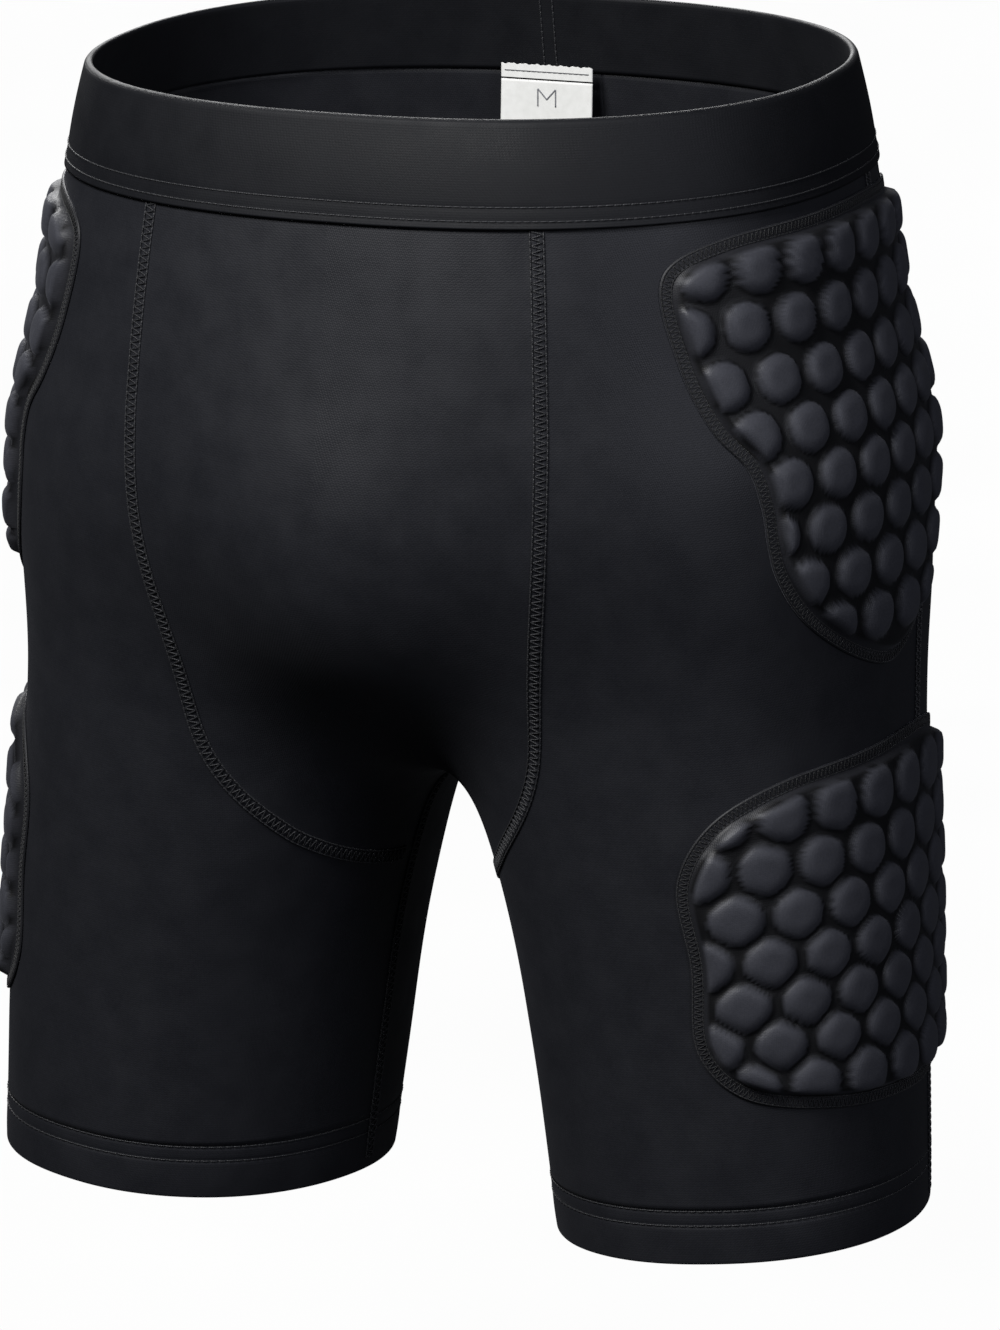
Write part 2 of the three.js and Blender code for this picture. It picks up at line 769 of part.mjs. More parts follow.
/** Line of the leg panel's inner edge: the front seam, then the inseam. */
const legInnerEdge = shifted(frontSeam, -SEAM_GAP, outwards);
const legOuterEdge = shifted(sideSeam, SEAM_GAP, forwards);
addPair("leg_panel", sheetSolid(panelGrid(legInnerEdge, legOuterEdge, COLUMNS.leg)), jersey);

/** Inner edge of the back: beside the centre back seam, then beside the inseam. */
function backInnerEdge() {
  const left = beside(backInner, SEAM_GAP);
  const right = beside(backInner, -SEAM_GAP);
  return backInner.map((p, i) => {
    if (i === CROTCH_ROW) return settle(p.clone().add(new THREE.Vector3(SEAM_GAP, SEAM_GAP, 0)));
    if (i < CROTCH_ROW) return left[i].x > right[i].x ? left[i] : right[i];
    return left[i].y > right[i].y ? left[i] : right[i];
  });
}

const backOuterEdge = shifted(sideSeam, SEAM_GAP, backwards);
const backPanel = sheetSolid(panelGrid(backOuterEdge, backInnerEdge(), COLUMNS.back));
addPair("back_panel", backPanel, jersey);

// Clearance under each seam's thread: more where the panels curve inwards.
const SEAM_RISE = { side: 0.45, back: 0.8, front: 2.0, inseam: 1.4 };
addPair("front_seam", seamSolid(frontSeam.slice(0, FORK_END), SEAM_RISE.front), thread);
addPair("side_seam", seamSolid(sideSeam, SEAM_RISE.side), thread);
add("centre_back_seam", seamSolid(backInner.slice(0, CROTCH_ROW), SEAM_RISE.back), thread);

/** One seam from hem to hem through the crotch. */
function inseamLine() {
  const left = backInner.slice(CROTCH_ROW + 1).reverse();
  const right = left.map((p) => p.clone().setX(-p.x)).reverse();
  return [...left, backInner[CROTCH_ROW], ...right];
}
add("inseam", seamSolid(inseamLine(), SEAM_RISE.inseam), thread);

// ---------------------------------------------------------------- waistband and hems

const BAND = { outerFace: 1.0, ply: 0.7, innerFace: -2.1 };
const band = {
  insideOuter: BAND.outerFace - BAND.ply,
  insideInner: BAND.innerFace + BAND.ply,
  fold: 1.4 / LENGTH,
};

/** Folded cover: outer ply, fold over the top and inner ply, open along its lower edge. */
const waistbandCover = ringSolid(waistPlace, BAND_SEGMENTS, [
  { v: BAND_END, height: band.insideOuter },
  { v: BAND_END, height: BAND.outerFace },
  { v: 0, height: BAND.outerFace },
  { v: 0, height: BAND.innerFace },
  { v: BAND_END, height: BAND.innerFace },
  { v: BAND_END, height: band.insideInner },
  { v: band.fold, height: band.insideInner },
  { v: band.fold, height: band.insideOuter },
]);
add("waistband_cover", waistbandCover, bandKnit);

const WEB = { belowFold: 0.4, aboveEdge: 1 };
const webTop = band.fold + WEB.belowFold / LENGTH;
const webBottom = (BAND_DEPTH - WEB.aboveEdge) / LENGTH;
const elastic = strip(webTop, webBottom, band.insideInner + GAP, band.insideOuter - GAP);
add("waistband_elastic", ringSolid(waistPlace, BAND_SEGMENTS, elastic), elasticWeb);

/** Twin-needle stitching, a thin ring that stands on a face. */
const COVERSTITCH = { width: 5.5, rise: 0.4, aboveBandEdge: 2.5, aboveHem: 15 };
const stitchLow = BAND.outerFace + GAP;
const bandStitchEnd = (BAND_DEPTH - COVERSTITCH.aboveBandEdge) / LENGTH;
const bandStitch = strip(
  bandStitchEnd - COVERSTITCH.width / LENGTH,
  bandStitchEnd,
  stitchLow,
  stitchLow + COVERSTITCH.rise,
);
add("waistband_coverstitch", ringSolid(waistPlace, BAND_SEGMENTS, bandStitch), thread);

const HEM = { outerFace: 0.1, thickness: 1.7 };
const hemBand = strip(HEM_START, 1, HEM.outerFace - HEM.thickness, HEM.outerFace);
addPair("hem_band", ringSolid(hemPlace, HEM_SEGMENTS, hemBand), jersey);

const hemStitchEnd = (LENGTH - COVERSTITCH.aboveHem) / LENGTH;
const hemStitch = strip(
  hemStitchEnd - COVERSTITCH.width / LENGTH,
  hemStitchEnd,
  HEM.outerFace + GAP,
  HEM.outerFace + GAP + COVERSTITCH.rise,
);
addPair("hem_coverstitch", ringSolid(hemPlace, HEM_SEGMENTS, hemStitch), thread);

/** Upright strip at the back of the waistband, on one of its faces. */
const BAND_SEAM = { halfWidth: 4, starts: 1, clearOfStitching: 1 };
function bandSeam(low, high, depthTo) {
  const line = [BAND_SEAM.starts, (BAND_SEAM.starts + depthTo) / 2, depthTo].map((depth) =>
    waistPlace(depth / LENGTH, Math.PI / 2, BACK_JOIN_X).p);
  const sides = [beside(line, -BAND_SEAM.halfWidth), line, beside(line, BAND_SEAM.halfWidth)];
  return sheetSolid(line.map((_, i) => sides.map((side) => raised(side[i], low, high))));
}
const bandSeamEnd = bandStitchEnd * LENGTH - COVERSTITCH.width - BAND_SEAM.clearOfStitching;
const outsideSeam = bandSeam(stitchLow, stitchLow + COVERSTITCH.rise, bandSeamEnd);
add("waistband_back_seam_outside", outsideSeam, thread);
const insideTop = BAND.innerFace - GAP;
const insideSeam = bandSeam(insideTop - COVERSTITCH.rise, insideTop, bandSeamEnd);
add("waistband_back_seam_inside", insideSeam, thread);

// ---------------------------------------------------------------- pads

/** Adds the three pieces of one pad; shape may mirror each of them. */
function addPad(name, pad, shape = (geometry) => geometry) {
  add(`${name}_foam`, shape(padFoam(pad)), foamRubber);
  add(`${name}_cover`, shape(padCover(pad)), padFabric);
  add(`${name}_stitching`, shape(padStitching(pad)), thread);
}

/** The same pad further round the body. */
function turnedPad(pad, degrees) {
  const turn = ([across, depth]) => [across + degrees, depth];
  return { ...pad, centre: turn(pad.centre), outline: pad.outline.map(turn) };
}

addPad("left_hip_pad", HIP_PAD);
addPad("right_hip_pad", HIP_PAD, mirrored);
addPad("left_thigh_pad", THIGH_PAD);
addPad("right_thigh_pad", turnedPad(THIGH_PAD, RIGHT_LEG_TURN), mirrored);
addPad("tailbone_pad", TAIL_PAD);

// ---------------------------------------------------------------- size label

/** Plain cloth rectangle that hangs straight down, facing forward. */
function labelPiece(width, height, y, top) {
  const slab = new THREE.BoxGeometry(width, LABEL.thickness, height);
  return slab.translate(BACK_JOIN_X, y - LABEL.thickness / 2, top - height / 2);
}
const bandEdge = waistPlace(BAND_END, Math.PI / 2, BACK_JOIN_X).p;
const hingeZ = bandEdge.z + LABEL.aboveBandEdge;
const labelTopDepth = BAND_DEPTH - LABEL.aboveBandEdge - LABEL.anchor;
const labelCorner = waistPlace(
  labelTopDepth / LENGTH,
  Math.PI / 2,
  BACK_JOIN_X - LABEL.width / 2,
).p;
const labelY = labelCorner.y + BAND.innerFace - LABEL.clearOfBand;
const anchor = labelPiece(LABEL.width, LABEL.anchor, labelY, hingeZ + LABEL.anchor);
add("size_label_anchor", anchor, labelSatin);
const flap = labelPiece(LABEL.width, LABEL.flap, labelY, hingeZ - LABEL.hinge);
add("size_label", flap, labelSatin);

const stitchLength = LABEL.width - 2 * LABEL.stitchInset;
const labelStitch = new THREE.BoxGeometry(stitchLength, LABEL.stitchThickness, LABEL.stitchWidth);
const stitchY = labelY - LABEL.thickness - GAP - LABEL.stitchThickness / 2;
labelStitch.translate(BACK_JOIN_X, stitchY, hingeZ + LABEL.stitchHeight);
add("size_label_stitching", labelStitch, thread);

export default shorts;
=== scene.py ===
"""Padded impact shorts in size M, dressed for a plain studio picture.

Every piece is drawn on one smooth form, the shape that the cloth takes when the shorts are worn.
Sizes are in millimetres and become metres when a mesh is made. +Z is up, the wearer faces -Y and
the wearer's left is +X. The left side is drawn and the right side mirrors it.
"""

import logging
import math
from dataclasses import dataclass, replace
from enum import Enum
from typing import Callable, Optional, Protocol, Sequence

import bpy
import bmesh
import numpy as np
from mathutils import Matrix, Vector


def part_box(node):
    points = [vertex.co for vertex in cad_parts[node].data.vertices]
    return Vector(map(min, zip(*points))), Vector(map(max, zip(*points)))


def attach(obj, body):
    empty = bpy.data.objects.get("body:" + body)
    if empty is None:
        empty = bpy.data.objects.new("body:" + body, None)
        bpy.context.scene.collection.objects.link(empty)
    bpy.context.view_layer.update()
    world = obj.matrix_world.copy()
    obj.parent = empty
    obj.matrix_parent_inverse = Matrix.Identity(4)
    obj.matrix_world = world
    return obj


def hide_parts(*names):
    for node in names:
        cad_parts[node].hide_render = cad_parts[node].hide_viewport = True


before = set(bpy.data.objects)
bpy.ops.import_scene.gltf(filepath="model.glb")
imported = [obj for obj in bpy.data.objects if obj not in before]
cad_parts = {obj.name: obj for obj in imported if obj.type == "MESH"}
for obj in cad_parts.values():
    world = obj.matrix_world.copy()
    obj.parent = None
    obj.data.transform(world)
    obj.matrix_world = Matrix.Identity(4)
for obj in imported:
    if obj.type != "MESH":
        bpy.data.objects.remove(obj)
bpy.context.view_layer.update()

log = logging.getLogger("impact_shorts")
Array = np.ndarray
MM = 0.001
MATH = "ShaderNodeMath"
GARMENT = "garment"
FLAP = "size_label_flap"
# The band is joined, and the label sewn in, a little to the wearer's right of the centre back.
BACK_JOIN_X = -20.0
RIGHT_LEG_TURN = 22.0  # degrees by which the wearer's right leg is turned out


class Side(Enum):
    """Which half of the wearer a piece is on; the value is the sign of X."""

    LEFT = 1
    RIGHT = -1

    @property
    def label(self) -> str:
        """The side's name as it stands at the start of a node's name."""
        return self.name.lower()


class Stitch(Enum):
    """How a run of stitching shows on the cloth's face."""

    FLATLOCK = "two needle rows with a cover thread laced between them"
    TWIN_NEEDLE = "two plain rows"
    SINGLE = "one plain row"


# ---------------------------------------------------------------- the form of the shorts as worn


def along_stations(at: Sequence[float], values: Sequence[float], x: Array) -> Array:
    """Smooth curve through stations, held level past both ends.

    Args:
        at: Places of the stations, rising.
        values: The curve's value at each station.
        x: Places to evaluate.

    Returns:
        The value at each place.
    """
    at = np.asarray(at, float)
    values = np.asarray(values, float)
    slopes = np.gradient(values, at)
    held = np.clip(x, at[0], at[-1])
    i = np.clip(np.searchsorted(at, held, side="right") - 1, 0, len(at) - 2)
    step = at[i + 1] - at[i]
    t = (held - at[i]) / step
    t2 = t * t
    t3 = t2 * t
    start = (2 * t3 - 3 * t2 + 1) * values[i] + (t3 - 2 * t2 + t) * step * slopes[i]
    end = (3 * t2 - 2 * t3) * values[i + 1] + (t3 - t2) * step * slopes[i + 1]
    return start + end


def super_norm(terms: Sequence[Array], power: float) -> Array:
    """Size of a superellipse-like distance: 1 on the surface, less inside."""
    return sum(np.abs(term) ** power for term in terms) ** (1 / power)


def unit(vectors: Array) -> Array:
    """Vectors scaled to length one."""
    return vectors / np.maximum(np.linalg.norm(vectors, axis=-1, keepdims=True), 1e-9)


@dataclass(frozen=True)
class Torso:
    """Hips and waist as a stack of oval sections by depth below the waist opening."""

    depth: tuple = (0, 38, 90, 150, 200, 260)
    half_width: tuple = (141, 149, 154, 157, 161, 162)
    front: tuple = (110, 117, 122, 119, 108, 98)
    back: tuple = (112, 119, 128, 135, 135, 124)
    squareness: float = 2.3
    floor_starts: float = 150
    crotch: float = 255


@dataclass(frozen=True)
class Thigh:
    """One thigh as a stack of ovals round its own axis, turned a little towards the hem."""

    depth: tuple = (150, 250, 340, 430)
    axis_x: tuple = (86, 93, 105, 113)
    axis_y: tuple = (2, 2, 0, -2)
    half_width: tuple = (74, 78, 73, 68)
    half_depth: tuple = (92, 92, 84, 78)
    turn_degrees: tuple = (0, 0, 8, 14)
    squareness: float = 2.15
    rounded_top: float = 60


@dataclass(frozen=True)
class BodyForm:
    """The cloth's outer face as worn: hips, thighs and front flowing into each other."""

    torso: Torso = Torso()
    thigh: Thigh = Thigh()
    fullness_centre: tuple = (0, -92, -162)
    fullness_radii: tuple = (46, 34, 46)
    blend: float = 14
    length: float = 423
    waist_tilt: float = math.radians(4)
    tilt_fades: float = 150
    hem_tilt: float = math.radians(4)
    hem_tilt_starts: float = 60
    axis_depths: tuple = (0, 60, 160, 230, 423)
    axis_offsets: tuple = (0, 30, 80, 98, 113)
    slow_swell: float = 0.22  # unevenness of the stretched cloth, mm
    quick_swell: float = 0.06
    probes: int = 65  # steps that look for the form along a line
    halvings: int = 16  # steps that then close in on it
    plane_halvings: int = 34  # the same for a point's cutting plane

    def outside(self, p: Array) -> Array:
        """Roughly the distance of points outside the form.

        Args:
            p: Points, with x, y and z on the last axis.

        Returns:
            Distances, negative inside.
        """
        x, y, z = p[..., 0], p[..., 1], p[..., 2]
        fade = np.clip(1 + z / self.tilt_fades, 0, 1)
        depth = -(z - math.tan(self.waist_tilt) * y * fade)
        torso, thigh = self.torso, self.thigh
        half_width = along_stations(torso.depth, torso.half_width, depth)
        front = along_stations(torso.depth, torso.front, depth)
        back = along_stations(torso.depth, torso.back, depth)
        floor = np.maximum(depth - torso.floor_starts, 0) / (torso.crotch - torso.floor_starts)
        hips = super_norm([x / half_width, y / np.where(y < 0, front, back), floor], torso.squareness)
        gaps = [(hips - 1) * (front + back) / 2]
        axis_x = along_stations(thigh.depth, thigh.axis_x, depth)
        axis_y = along_stations(thigh.depth, thigh.axis_y, depth)
        wide = along_stations(thigh.depth, thigh.half_width, depth)
        deep = along_stations(thigh.depth, thigh.half_depth, depth)
        turn = np.radians(along_stations(thigh.depth, thigh.turn_degrees, depth))
        top = np.maximum(thigh.depth[0] - depth, 0) / thigh.rounded_top
        for side in (1, -1):
            dx = x - side * axis_x
            dy = y - axis_y
            across = dx * np.cos(turn) + side * dy * np.sin(turn)
            along = -side * dx * np.sin(turn) + dy * np.cos(turn)
            gaps.append((super_norm([across / wide, along / deep, top], thigh.squareness) - 1) * wide)
        offset = (p - np.array(self.fullness_centre)) / np.array(self.fullness_radii)
        gaps.append((np.linalg.norm(offset, axis=-1) - 1) * self.fullness_radii[1])
        stack = np.stack(gaps)
        least = stack.min(0)
        return least - self.blend * np.log(np.exp((least - stack) / self.blend).sum(0))

    def gradient(self, p: Array, step: float = 0.05) -> Array:
        """Direction and rate in which the distance outside grows."""
        moves = np.eye(3) * step
        return np.stack([self.outside(p + m) - self.outside(p - m) for m in moves], -1) / (2 * step)

    def shoot(self, origin: Array, direction: Array, reach: float = 260) -> Array:
        """First points of the form on straight lines from inside it.

        Args:
            origin: Where each line starts.
            direction: Its direction, of about unit length.
            reach: How far it may run.

        Returns:
            The points.
        """
        origin, direction = np.broadcast_arrays(origin, direction)
        near = np.zeros(origin.shape[:-1])
        far = np.full(origin.shape[:-1], reach)
        found = np.zeros(origin.shape[:-1], bool)
        for distance in np.linspace(0, reach, self.probes + 1)[1:]:
            hit = (self.outside(origin + direction * distance) > 0) & ~found
            far = np.where(hit, distance, far)
            found |= hit
            near = np.where(found, near, distance)
        for _ in range(self.halvings):
            middle = (near + far) / 2
            out = self.outside(origin + direction * middle[..., None]) > 0
            far = np.where(out, middle, far)
            near = np.where(out, near, middle)
        return origin + direction * ((near + far) / 2)[..., None]

    def settle(self, p: Array, rounds: int = 5) -> Array:
        """Moves nearby points onto the form.

        Args:
            p: Points near the form.
            rounds: How often to step.

        Returns:
            The points on the form.
        """
        for _ in range(rounds):
            g = self.gradient(p)
            p = p - g * (self.outside(p) / (g**2).sum(-1))[..., None]
        return p

    def slice_at(self, v: Array) -> tuple[Array, Array, Array]:
        """Cutting planes, from 0 at the waist to 1 at the hem.

        Args:
            v: Which planes.

        Returns:
            Each plane's centre in the left leg's line, its outward and its backward direction.
        """
        depth = self.length * np.asarray(v, float)
        offset = np.interp(depth, self.axis_depths, self.axis_offsets)
        pitch = self.waist_tilt * (1 - np.asarray(v, float))
        splay = (depth - self.hem_tilt_starts) / (self.length - self.hem_tilt_starts)
        roll = self.hem_tilt * np.clip(splay, 0, 1)
        zero = np.zeros_like(depth)
        centre = np.stack([offset, zero, -depth], -1)
        outward = np.stack([np.cos(roll), zero, np.sin(roll)], -1)
        back = np.stack([zero, np.cos(pitch), np.sin(pitch)], -1)
        return centre, outward, back

    def on_slice(self, v: Array, angle: Array, whole_waist: bool = False) -> Array:
        """Points of the form in cutting planes, at an angle round each plane's centre.

        Args:
            v: Which planes.
            angle: 0 outward, negative to the front, in radians.
            whole_waist: Turn round the middle of the body and not the leg's line.

        Returns:
            The points.
        """
        v, angle = np.broadcast_arrays(np.asarray(v, float), np.asarray(angle, float))
        centre, outward, back = self.slice_at(v)
        if whole_waist:
            centre = centre * np.array([0, 1, 1])
        return self.shoot(centre, np.cos(angle)[..., None] * outward + np.sin(angle)[..., None] * back)

    def locate(self, p: Array) -> tuple[Array, Array, Array]:
        """Plane, angle and distance of points on the wearer's left half.

        Args:
            p: Points, in mm.

        Returns:
            Each point's plane, and its angle and distance from the plane's centre.
        """
        low = np.full(p.shape[:-1], -0.05)
        high = np.full(p.shape[:-1], 1.05)
        for _ in range(self.plane_halvings):
            middle = (low + high) / 2
            centre, outward, back = self.slice_at(middle)
            below = ((p - centre) * np.cross(outward, back)).sum(-1) < 0
            low = np.where(below, middle, low)
            high = np.where(below, high, middle)
        v = (low + high) / 2
        centre, outward, back = self.slice_at(v)
        arm = p - centre
        angle = np.arctan2((arm * back).sum(-1), (arm * outward).sum(-1))
        return v, angle, np.linalg.norm(arm, axis=-1)

    def undulation(self, p: Array) -> Array:
        """Soft unevenness of stretched cloth over a body, in mm, the same on both sides.

        Args:
            p: Points on the form.

        Returns:
            The height at each point.
        """
        x, y, z = np.abs(p[..., 0]), p[..., 1], p[..., 2]
        slow = np.sin(z / 23 + y / 31) * np.sin(x / 27 - z / 47)
        quick = np.sin(x / 9 + z / 13) * np.sin(y / 11 - z / 17)
        return self.slow_swell * slow + self.quick_swell * quick

    def raised(self, p: Array, height: Array) -> Array:
        """Points lifted off the form, with the cloth's unevenness.

        Args:
            p: Points on the form.
            height: How far to lift each one, in mm.

        Returns:
            The lifted points.
        """
        return p + unit(self.gradient(p)) * (height + self.undulation(p))[..., None]


FORM = BodyForm()


# ---------------------------------------------------------------- meshes


def lengths_along(points: Array, axis: int = 0) -> Array:
    """Running length along rows of points."""
    steps = np.linalg.norm(np.diff(points, axis=axis), axis=-1)
    return np.concatenate([np.zeros_like(steps.take([0], axis)), np.cumsum(steps, axis)], axis)


def respaced(points: Array, count: int) -> Array:
    """A line of points spread evenly over its own length.

    Args:
        points: The line.
        count: How many points to spread over it.

    Returns:
        The new points.
    """
    along = lengths_along(points)
    wanted = np.linspace(0, along[-1], count)
    return np.stack([np.interp(wanted, along, points[:, k]) for k in range(3)], -1)


class Solid:
    """Closed surfaces gathered into one mesh, in millimetres, with a cloth map in millimetres."""

    def __init__(self) -> None:
        """Starts with nothing in it."""
        self.points: list[Array] = []
        self.faces: list[Array] = []
        self.maps: list[Array] = []
        self.raised: Optional[Array] = None  # share of the cloth's own colour against the painted shade of the channels, 0 to 1, from how far each point stands up from them
        self.count = 0

    def _hold(self, grid: Array) -> Array:
        """Adds points.

        Args:
            grid: The points, in a grid of any shape.

        Returns:
            Their numbers, in the grid's shape.
        """
        flat = grid.reshape(-1, 3)
        numbers = self.count + np.arange(len(flat)).reshape(grid.shape[:-1])
        self.points.append(flat)
        self.count += len(flat)
        return numbers

    def _close(self, parts: list[tuple[Array, Array]]) -> None:
        """Adds the faces of one closed surface, turned to face outwards.

        Args:
            parts: Point numbers and cloth map of each block of faces.
        """
        points = np.concatenate(self.points)
        volume = 0.0
        for corners, _ in parts:
            a = points[corners[:, 0]]
            for k in range(1, corners.shape[1] - 1):
                b, c = points[corners[:, k]], points[corners[:, k + 1]]
                volume += float((a * np.cross(b, c)).sum())
        for corners, cloth in parts:
            if volume < 0:
                corners, cloth = corners[:, ::-1], cloth[:, ::-1]
            self.faces.append(corners)
            self.maps.append(cloth)

    @staticmethod
    def _quads(numbers: Array, cloth: Array, turned: bool = False) -> tuple[Array, Array]:
        """Works out the faces of a grid of points.

        Args:
            numbers: The grid of point numbers.
            cloth: The grid's cloth map.
            turned: The faces look the other way.

        Returns:
            The faces, and the cloth map at their corners.
        """
        def corners(grid: Array) -> Array:
            """The four corners of every cell."""
            return np.stack([grid[:-1, :-1], grid[1:, :-1], grid[1:, 1:], grid[:-1, 1:]], 2)
        cells = corners(numbers).reshape(-1, 4)
        places = corners(cloth).reshape(-1, 4, 2)
        return (cells[:, ::-1], places[:, ::-1]) if turned else (cells, places)

    def sheet(self, outer: Array, inner: Array, cloth: Array, wrap: bool = False,
              middle: Optional[tuple[Array, Array]] = None, open_rows: int = 0) -> None:
        """Adds a closed sheet between an outer and an inner grid.

        Args:
            outer: Outer face, rows by columns.
            inner: Inner face.
            cloth: Cloth map of the grid; a wrapped one has one more column.
            wrap: The columns close on themselves.
            middle: Outer and inner point that close the last row of a wrapped grid.
            open_rows: Rows whose last column is left open, to be joined to a mirrored sheet.
        """
        top, under = self._hold(outer), self._hold(inner)
        if wrap:
            top = np.concatenate([top, top[:, :1]], 1)
            under = np.concatenate([under, under[:, :1]], 1)
        parts = [self._quads(top, cloth), self._quads(under, cloth, True)]

        def rim(first: Array, second: Array, line: Array) -> None:
            """Wall between an edge of the outer face and the same edge of the inner one."""
            parts.append(self._quads(np.stack([first, second]), np.stack([line, line])))

        rim(under[0], top[0], cloth[0])
        if middle is None:
            rim(top[-1], under[-1], cloth[-1])
        else:
            tips = self._hold(np.stack(middle))
            for row, tip, flip in ((top[-1], tips[0], False), (under[-1], tips[1], True)):
                fan = np.stack([row[1:], row[:-1], np.full(len(row) - 1, tip)], 1)
                places = np.stack([cloth[-1, 1:], cloth[-1, :-1], cloth[-1, 1:]], 1)
                parts.append((fan[:, ::-1], places[:, ::-1]) if flip else (fan, places))
        if not wrap:
            rim(top[:, 0], under[:, 0], cloth[:, 0])
            rim(under[open_rows:, -1], top[open_rows:, -1], cloth[open_rows:, -1])
        self._close(parts)

    def hoop(self, grid: Array, cloth: Array) -> None:
        """Adds a ring swept from a closed section: both ways of the grid close on themselves.

        Args:
            grid: The points, with a row for each point of the section.
            cloth: Their cloth map, with one more row and column.
        """
        numbers = self._hold(grid)
        numbers = np.concatenate([numbers, numbers[:1]], 0)
        numbers = np.concatenate([numbers, numbers[:, :1]], 1)
        self._close([self._quads(numbers, cloth)])

    def strand(self, path: Array, normal: Array, radius: float, closed: bool = False,
               sides: int = 6) -> None:
        """Adds a round thread along a path.

        Args:
            path: Points along its middle.
            normal: A direction across the thread at each point.
            radius: Half its thickness.
            closed: The path ends where it starts.
            sides: Corners of its section.
        """
        if closed:
            tangent = unit(np.roll(path, -1, 0) - np.roll(path, 1, 0))
        else:
            tangent = unit(np.gradient(path, axis=0))
        across = unit(np.cross(tangent, normal))
        up = np.cross(across, tangent)
        turn = np.linspace(0, 2 * math.pi, sides, endpoint=False)[None, :, None]
        rings = path[:, None] + radius * (np.cos(turn) * across[:, None] + np.sin(turn) * up[:, None])
        numbers = self._hold(rings)
        along = lengths_along(path)
        if closed:
            numbers = np.concatenate([numbers, numbers[:1]], 0)
            along = np.append(along, along[-1] + np.linalg.norm(path[0] - path[-1]))
        numbers = np.concatenate([numbers, numbers[:, :1]], 1)
        round_it = np.linspace(0, 2 * math.pi * radius, sides + 1)
        cloth = np.stack(np.broadcast_arrays(round_it[None], along[:, None]), -1)
        parts = [self._quads(numbers, cloth)]
        if not closed:
            ends = np.stack([numbers[0, :-1], numbers[-1, :-1][::-1]])
            parts.append((ends, np.zeros((2, sides, 2))))
        self._close(parts)

    def on(self, side: Side) -> "Solid":
        """The solid, drawn on the left, on either side."""
        return self.mirrored() if side is Side.RIGHT else self

    def mirrored(self) -> "Solid":
        """The same solid on the wearer's other side.

        Returns:
            The mirrored solid.
        """
        other = Solid()
        other.points = [p * np.array([-1, 1, 1]) for p in self.points]
        other.faces = [f[:, ::-1] for f in self.faces]
        other.maps = [m[:, ::-1] for m in self.maps]
        other.raised = self.raised
        other.count = self.count
        return other

    def joined(self, other: "Solid") -> "Solid":
        """This solid and another one in one mesh.

        Args:
            other: The other one.

        Returns:
            Both in one.
        """
        both = Solid()
        both.points = self.points + other.points
        both.faces = self.faces + [f + self.count for f in other.faces]
        both.maps = self.maps + other.maps
        both.count = self.count + other.count
        return both

    def piece(self, name: str, material: bpy.types.Material, merge: float = 0.0) -> bpy.types.Object:
        """Makes the Blender object, in metres.

        Args:
            name: The CAD node that it details.
            material: Its finish.
            merge: Points nearer than this, in mm, become one.

        Returns:
            The object, linked to the scene.
        """
        name = f"{name}_detailed"
        mesh = bpy.data.meshes.new(name)
        faces = [face for block in self.faces for face in block.tolist()]
        mesh.from_pydata((np.concatenate(self.points) * MM).tolist(), [], faces)
        layer = mesh.uv_layers.new(name="cloth")
        layer.data.foreach_set("uv", np.concatenate([m.reshape(-1) for m in self.maps]) * MM)
        # The 'raised' attribute carries the painted channel shade to the pad cloth's material.
        if self.raised is not None:
            mesh.attributes.new("raised", "FLOAT", "POINT").data.foreach_set("value", self.raised)
        if merge:
            work = bmesh.new()
            work.from_mesh(mesh)
            bmesh.ops.remove_doubles(work, verts=work.verts, dist=merge * MM)
            work.to_mesh(mesh)
            work.free()
        mesh.shade_smooth()
        mesh.materials.append(material)
        mesh.update()
        obj = bpy.data.objects.new(name, mesh)
        bpy.context.scene.collection.objects.link(obj)
        return obj


def enter(obj: bpy.types.Object, nodes: Sequence[str], body: str = GARMENT) -> None:
    """Makes a piece ride its body in place of CAD nodes, and logs it.

    Args:
        obj: The piece.
        nodes: The nodes that it stands for.
        body: The body that it moves with.
    """
    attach(obj, body)
    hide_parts(*nodes)
    log.info("%s: %d faces on %s", obj.name, len(obj.data.polygons), body)


# ---------------------------------------------------------------- finishes


def linear(code: str) -> tuple[float, float, float, float]:
    """An sRGB hex colour as linear light, with full alpha.

    Args:
        code: The colour, such as #131418.

    Returns:
        Red, green, blue and alpha.
    """
    parts = [int(code[i:i + 2], 16) / 255 for i in (1, 3, 5)]
    light = [c / 12.92 if c <= 0.04045 else ((c + 0.055) / 1.055) ** 2.4 for c in parts]
    return (light[0], light[1], light[2], 1.0)


def add_node(tree: bpy.types.NodeTree, kind: str, settings: Optional[dict] = None,
             links: Optional[dict] = None) -> bpy.types.Node:
    """Adds one node to a material.

    Args:
        tree: The material's node tree.
        kind: The node's type.
        settings: Values by input socket, given as a name or number, or by the node's property.
        links: By input socket, an output socket, or a node for its first one.

    Returns:
        The node.
    """
    node = tree.nodes.new(kind)
    for key, value in (settings or {}).items():
        if isinstance(key, str) and hasattr(node, key):
            setattr(node, key, value)
        else:
            node.inputs[key].default_value = value
    for key, source in (links or {}).items():
        output = source.outputs[0] if isinstance(source, bpy.types.Node) else source
        tree.links.new(output, node.inputs[key])
    return node


def cloth_map(tree: bpy.types.NodeTree) -> tuple[bpy.types.NodeSocket, bpy.types.NodeSocket]:
    """Places across and along the cloth, in metres.

    Args:
        tree: The material's node tree.

    Returns:
        The two places.
    """
    cloth = add_node(tree, "ShaderNodeUVMap", {"uv_map": "cloth"})
    split = add_node(tree, "ShaderNodeSeparateXYZ", links={0: cloth})
    return split.outputs[0], split.outputs[1]


def blank(name: str) -> tuple[bpy.types.Material, bpy.types.NodeTree]:
    """A new material with an empty tree.

    Args:
        name: The material's name.

    Returns:
        The material and its tree.
    """
    material = bpy.data.materials.new(name)
    material.use_nodes = True
    tree = material.node_tree
    tree.nodes.clear()
    return material, tree


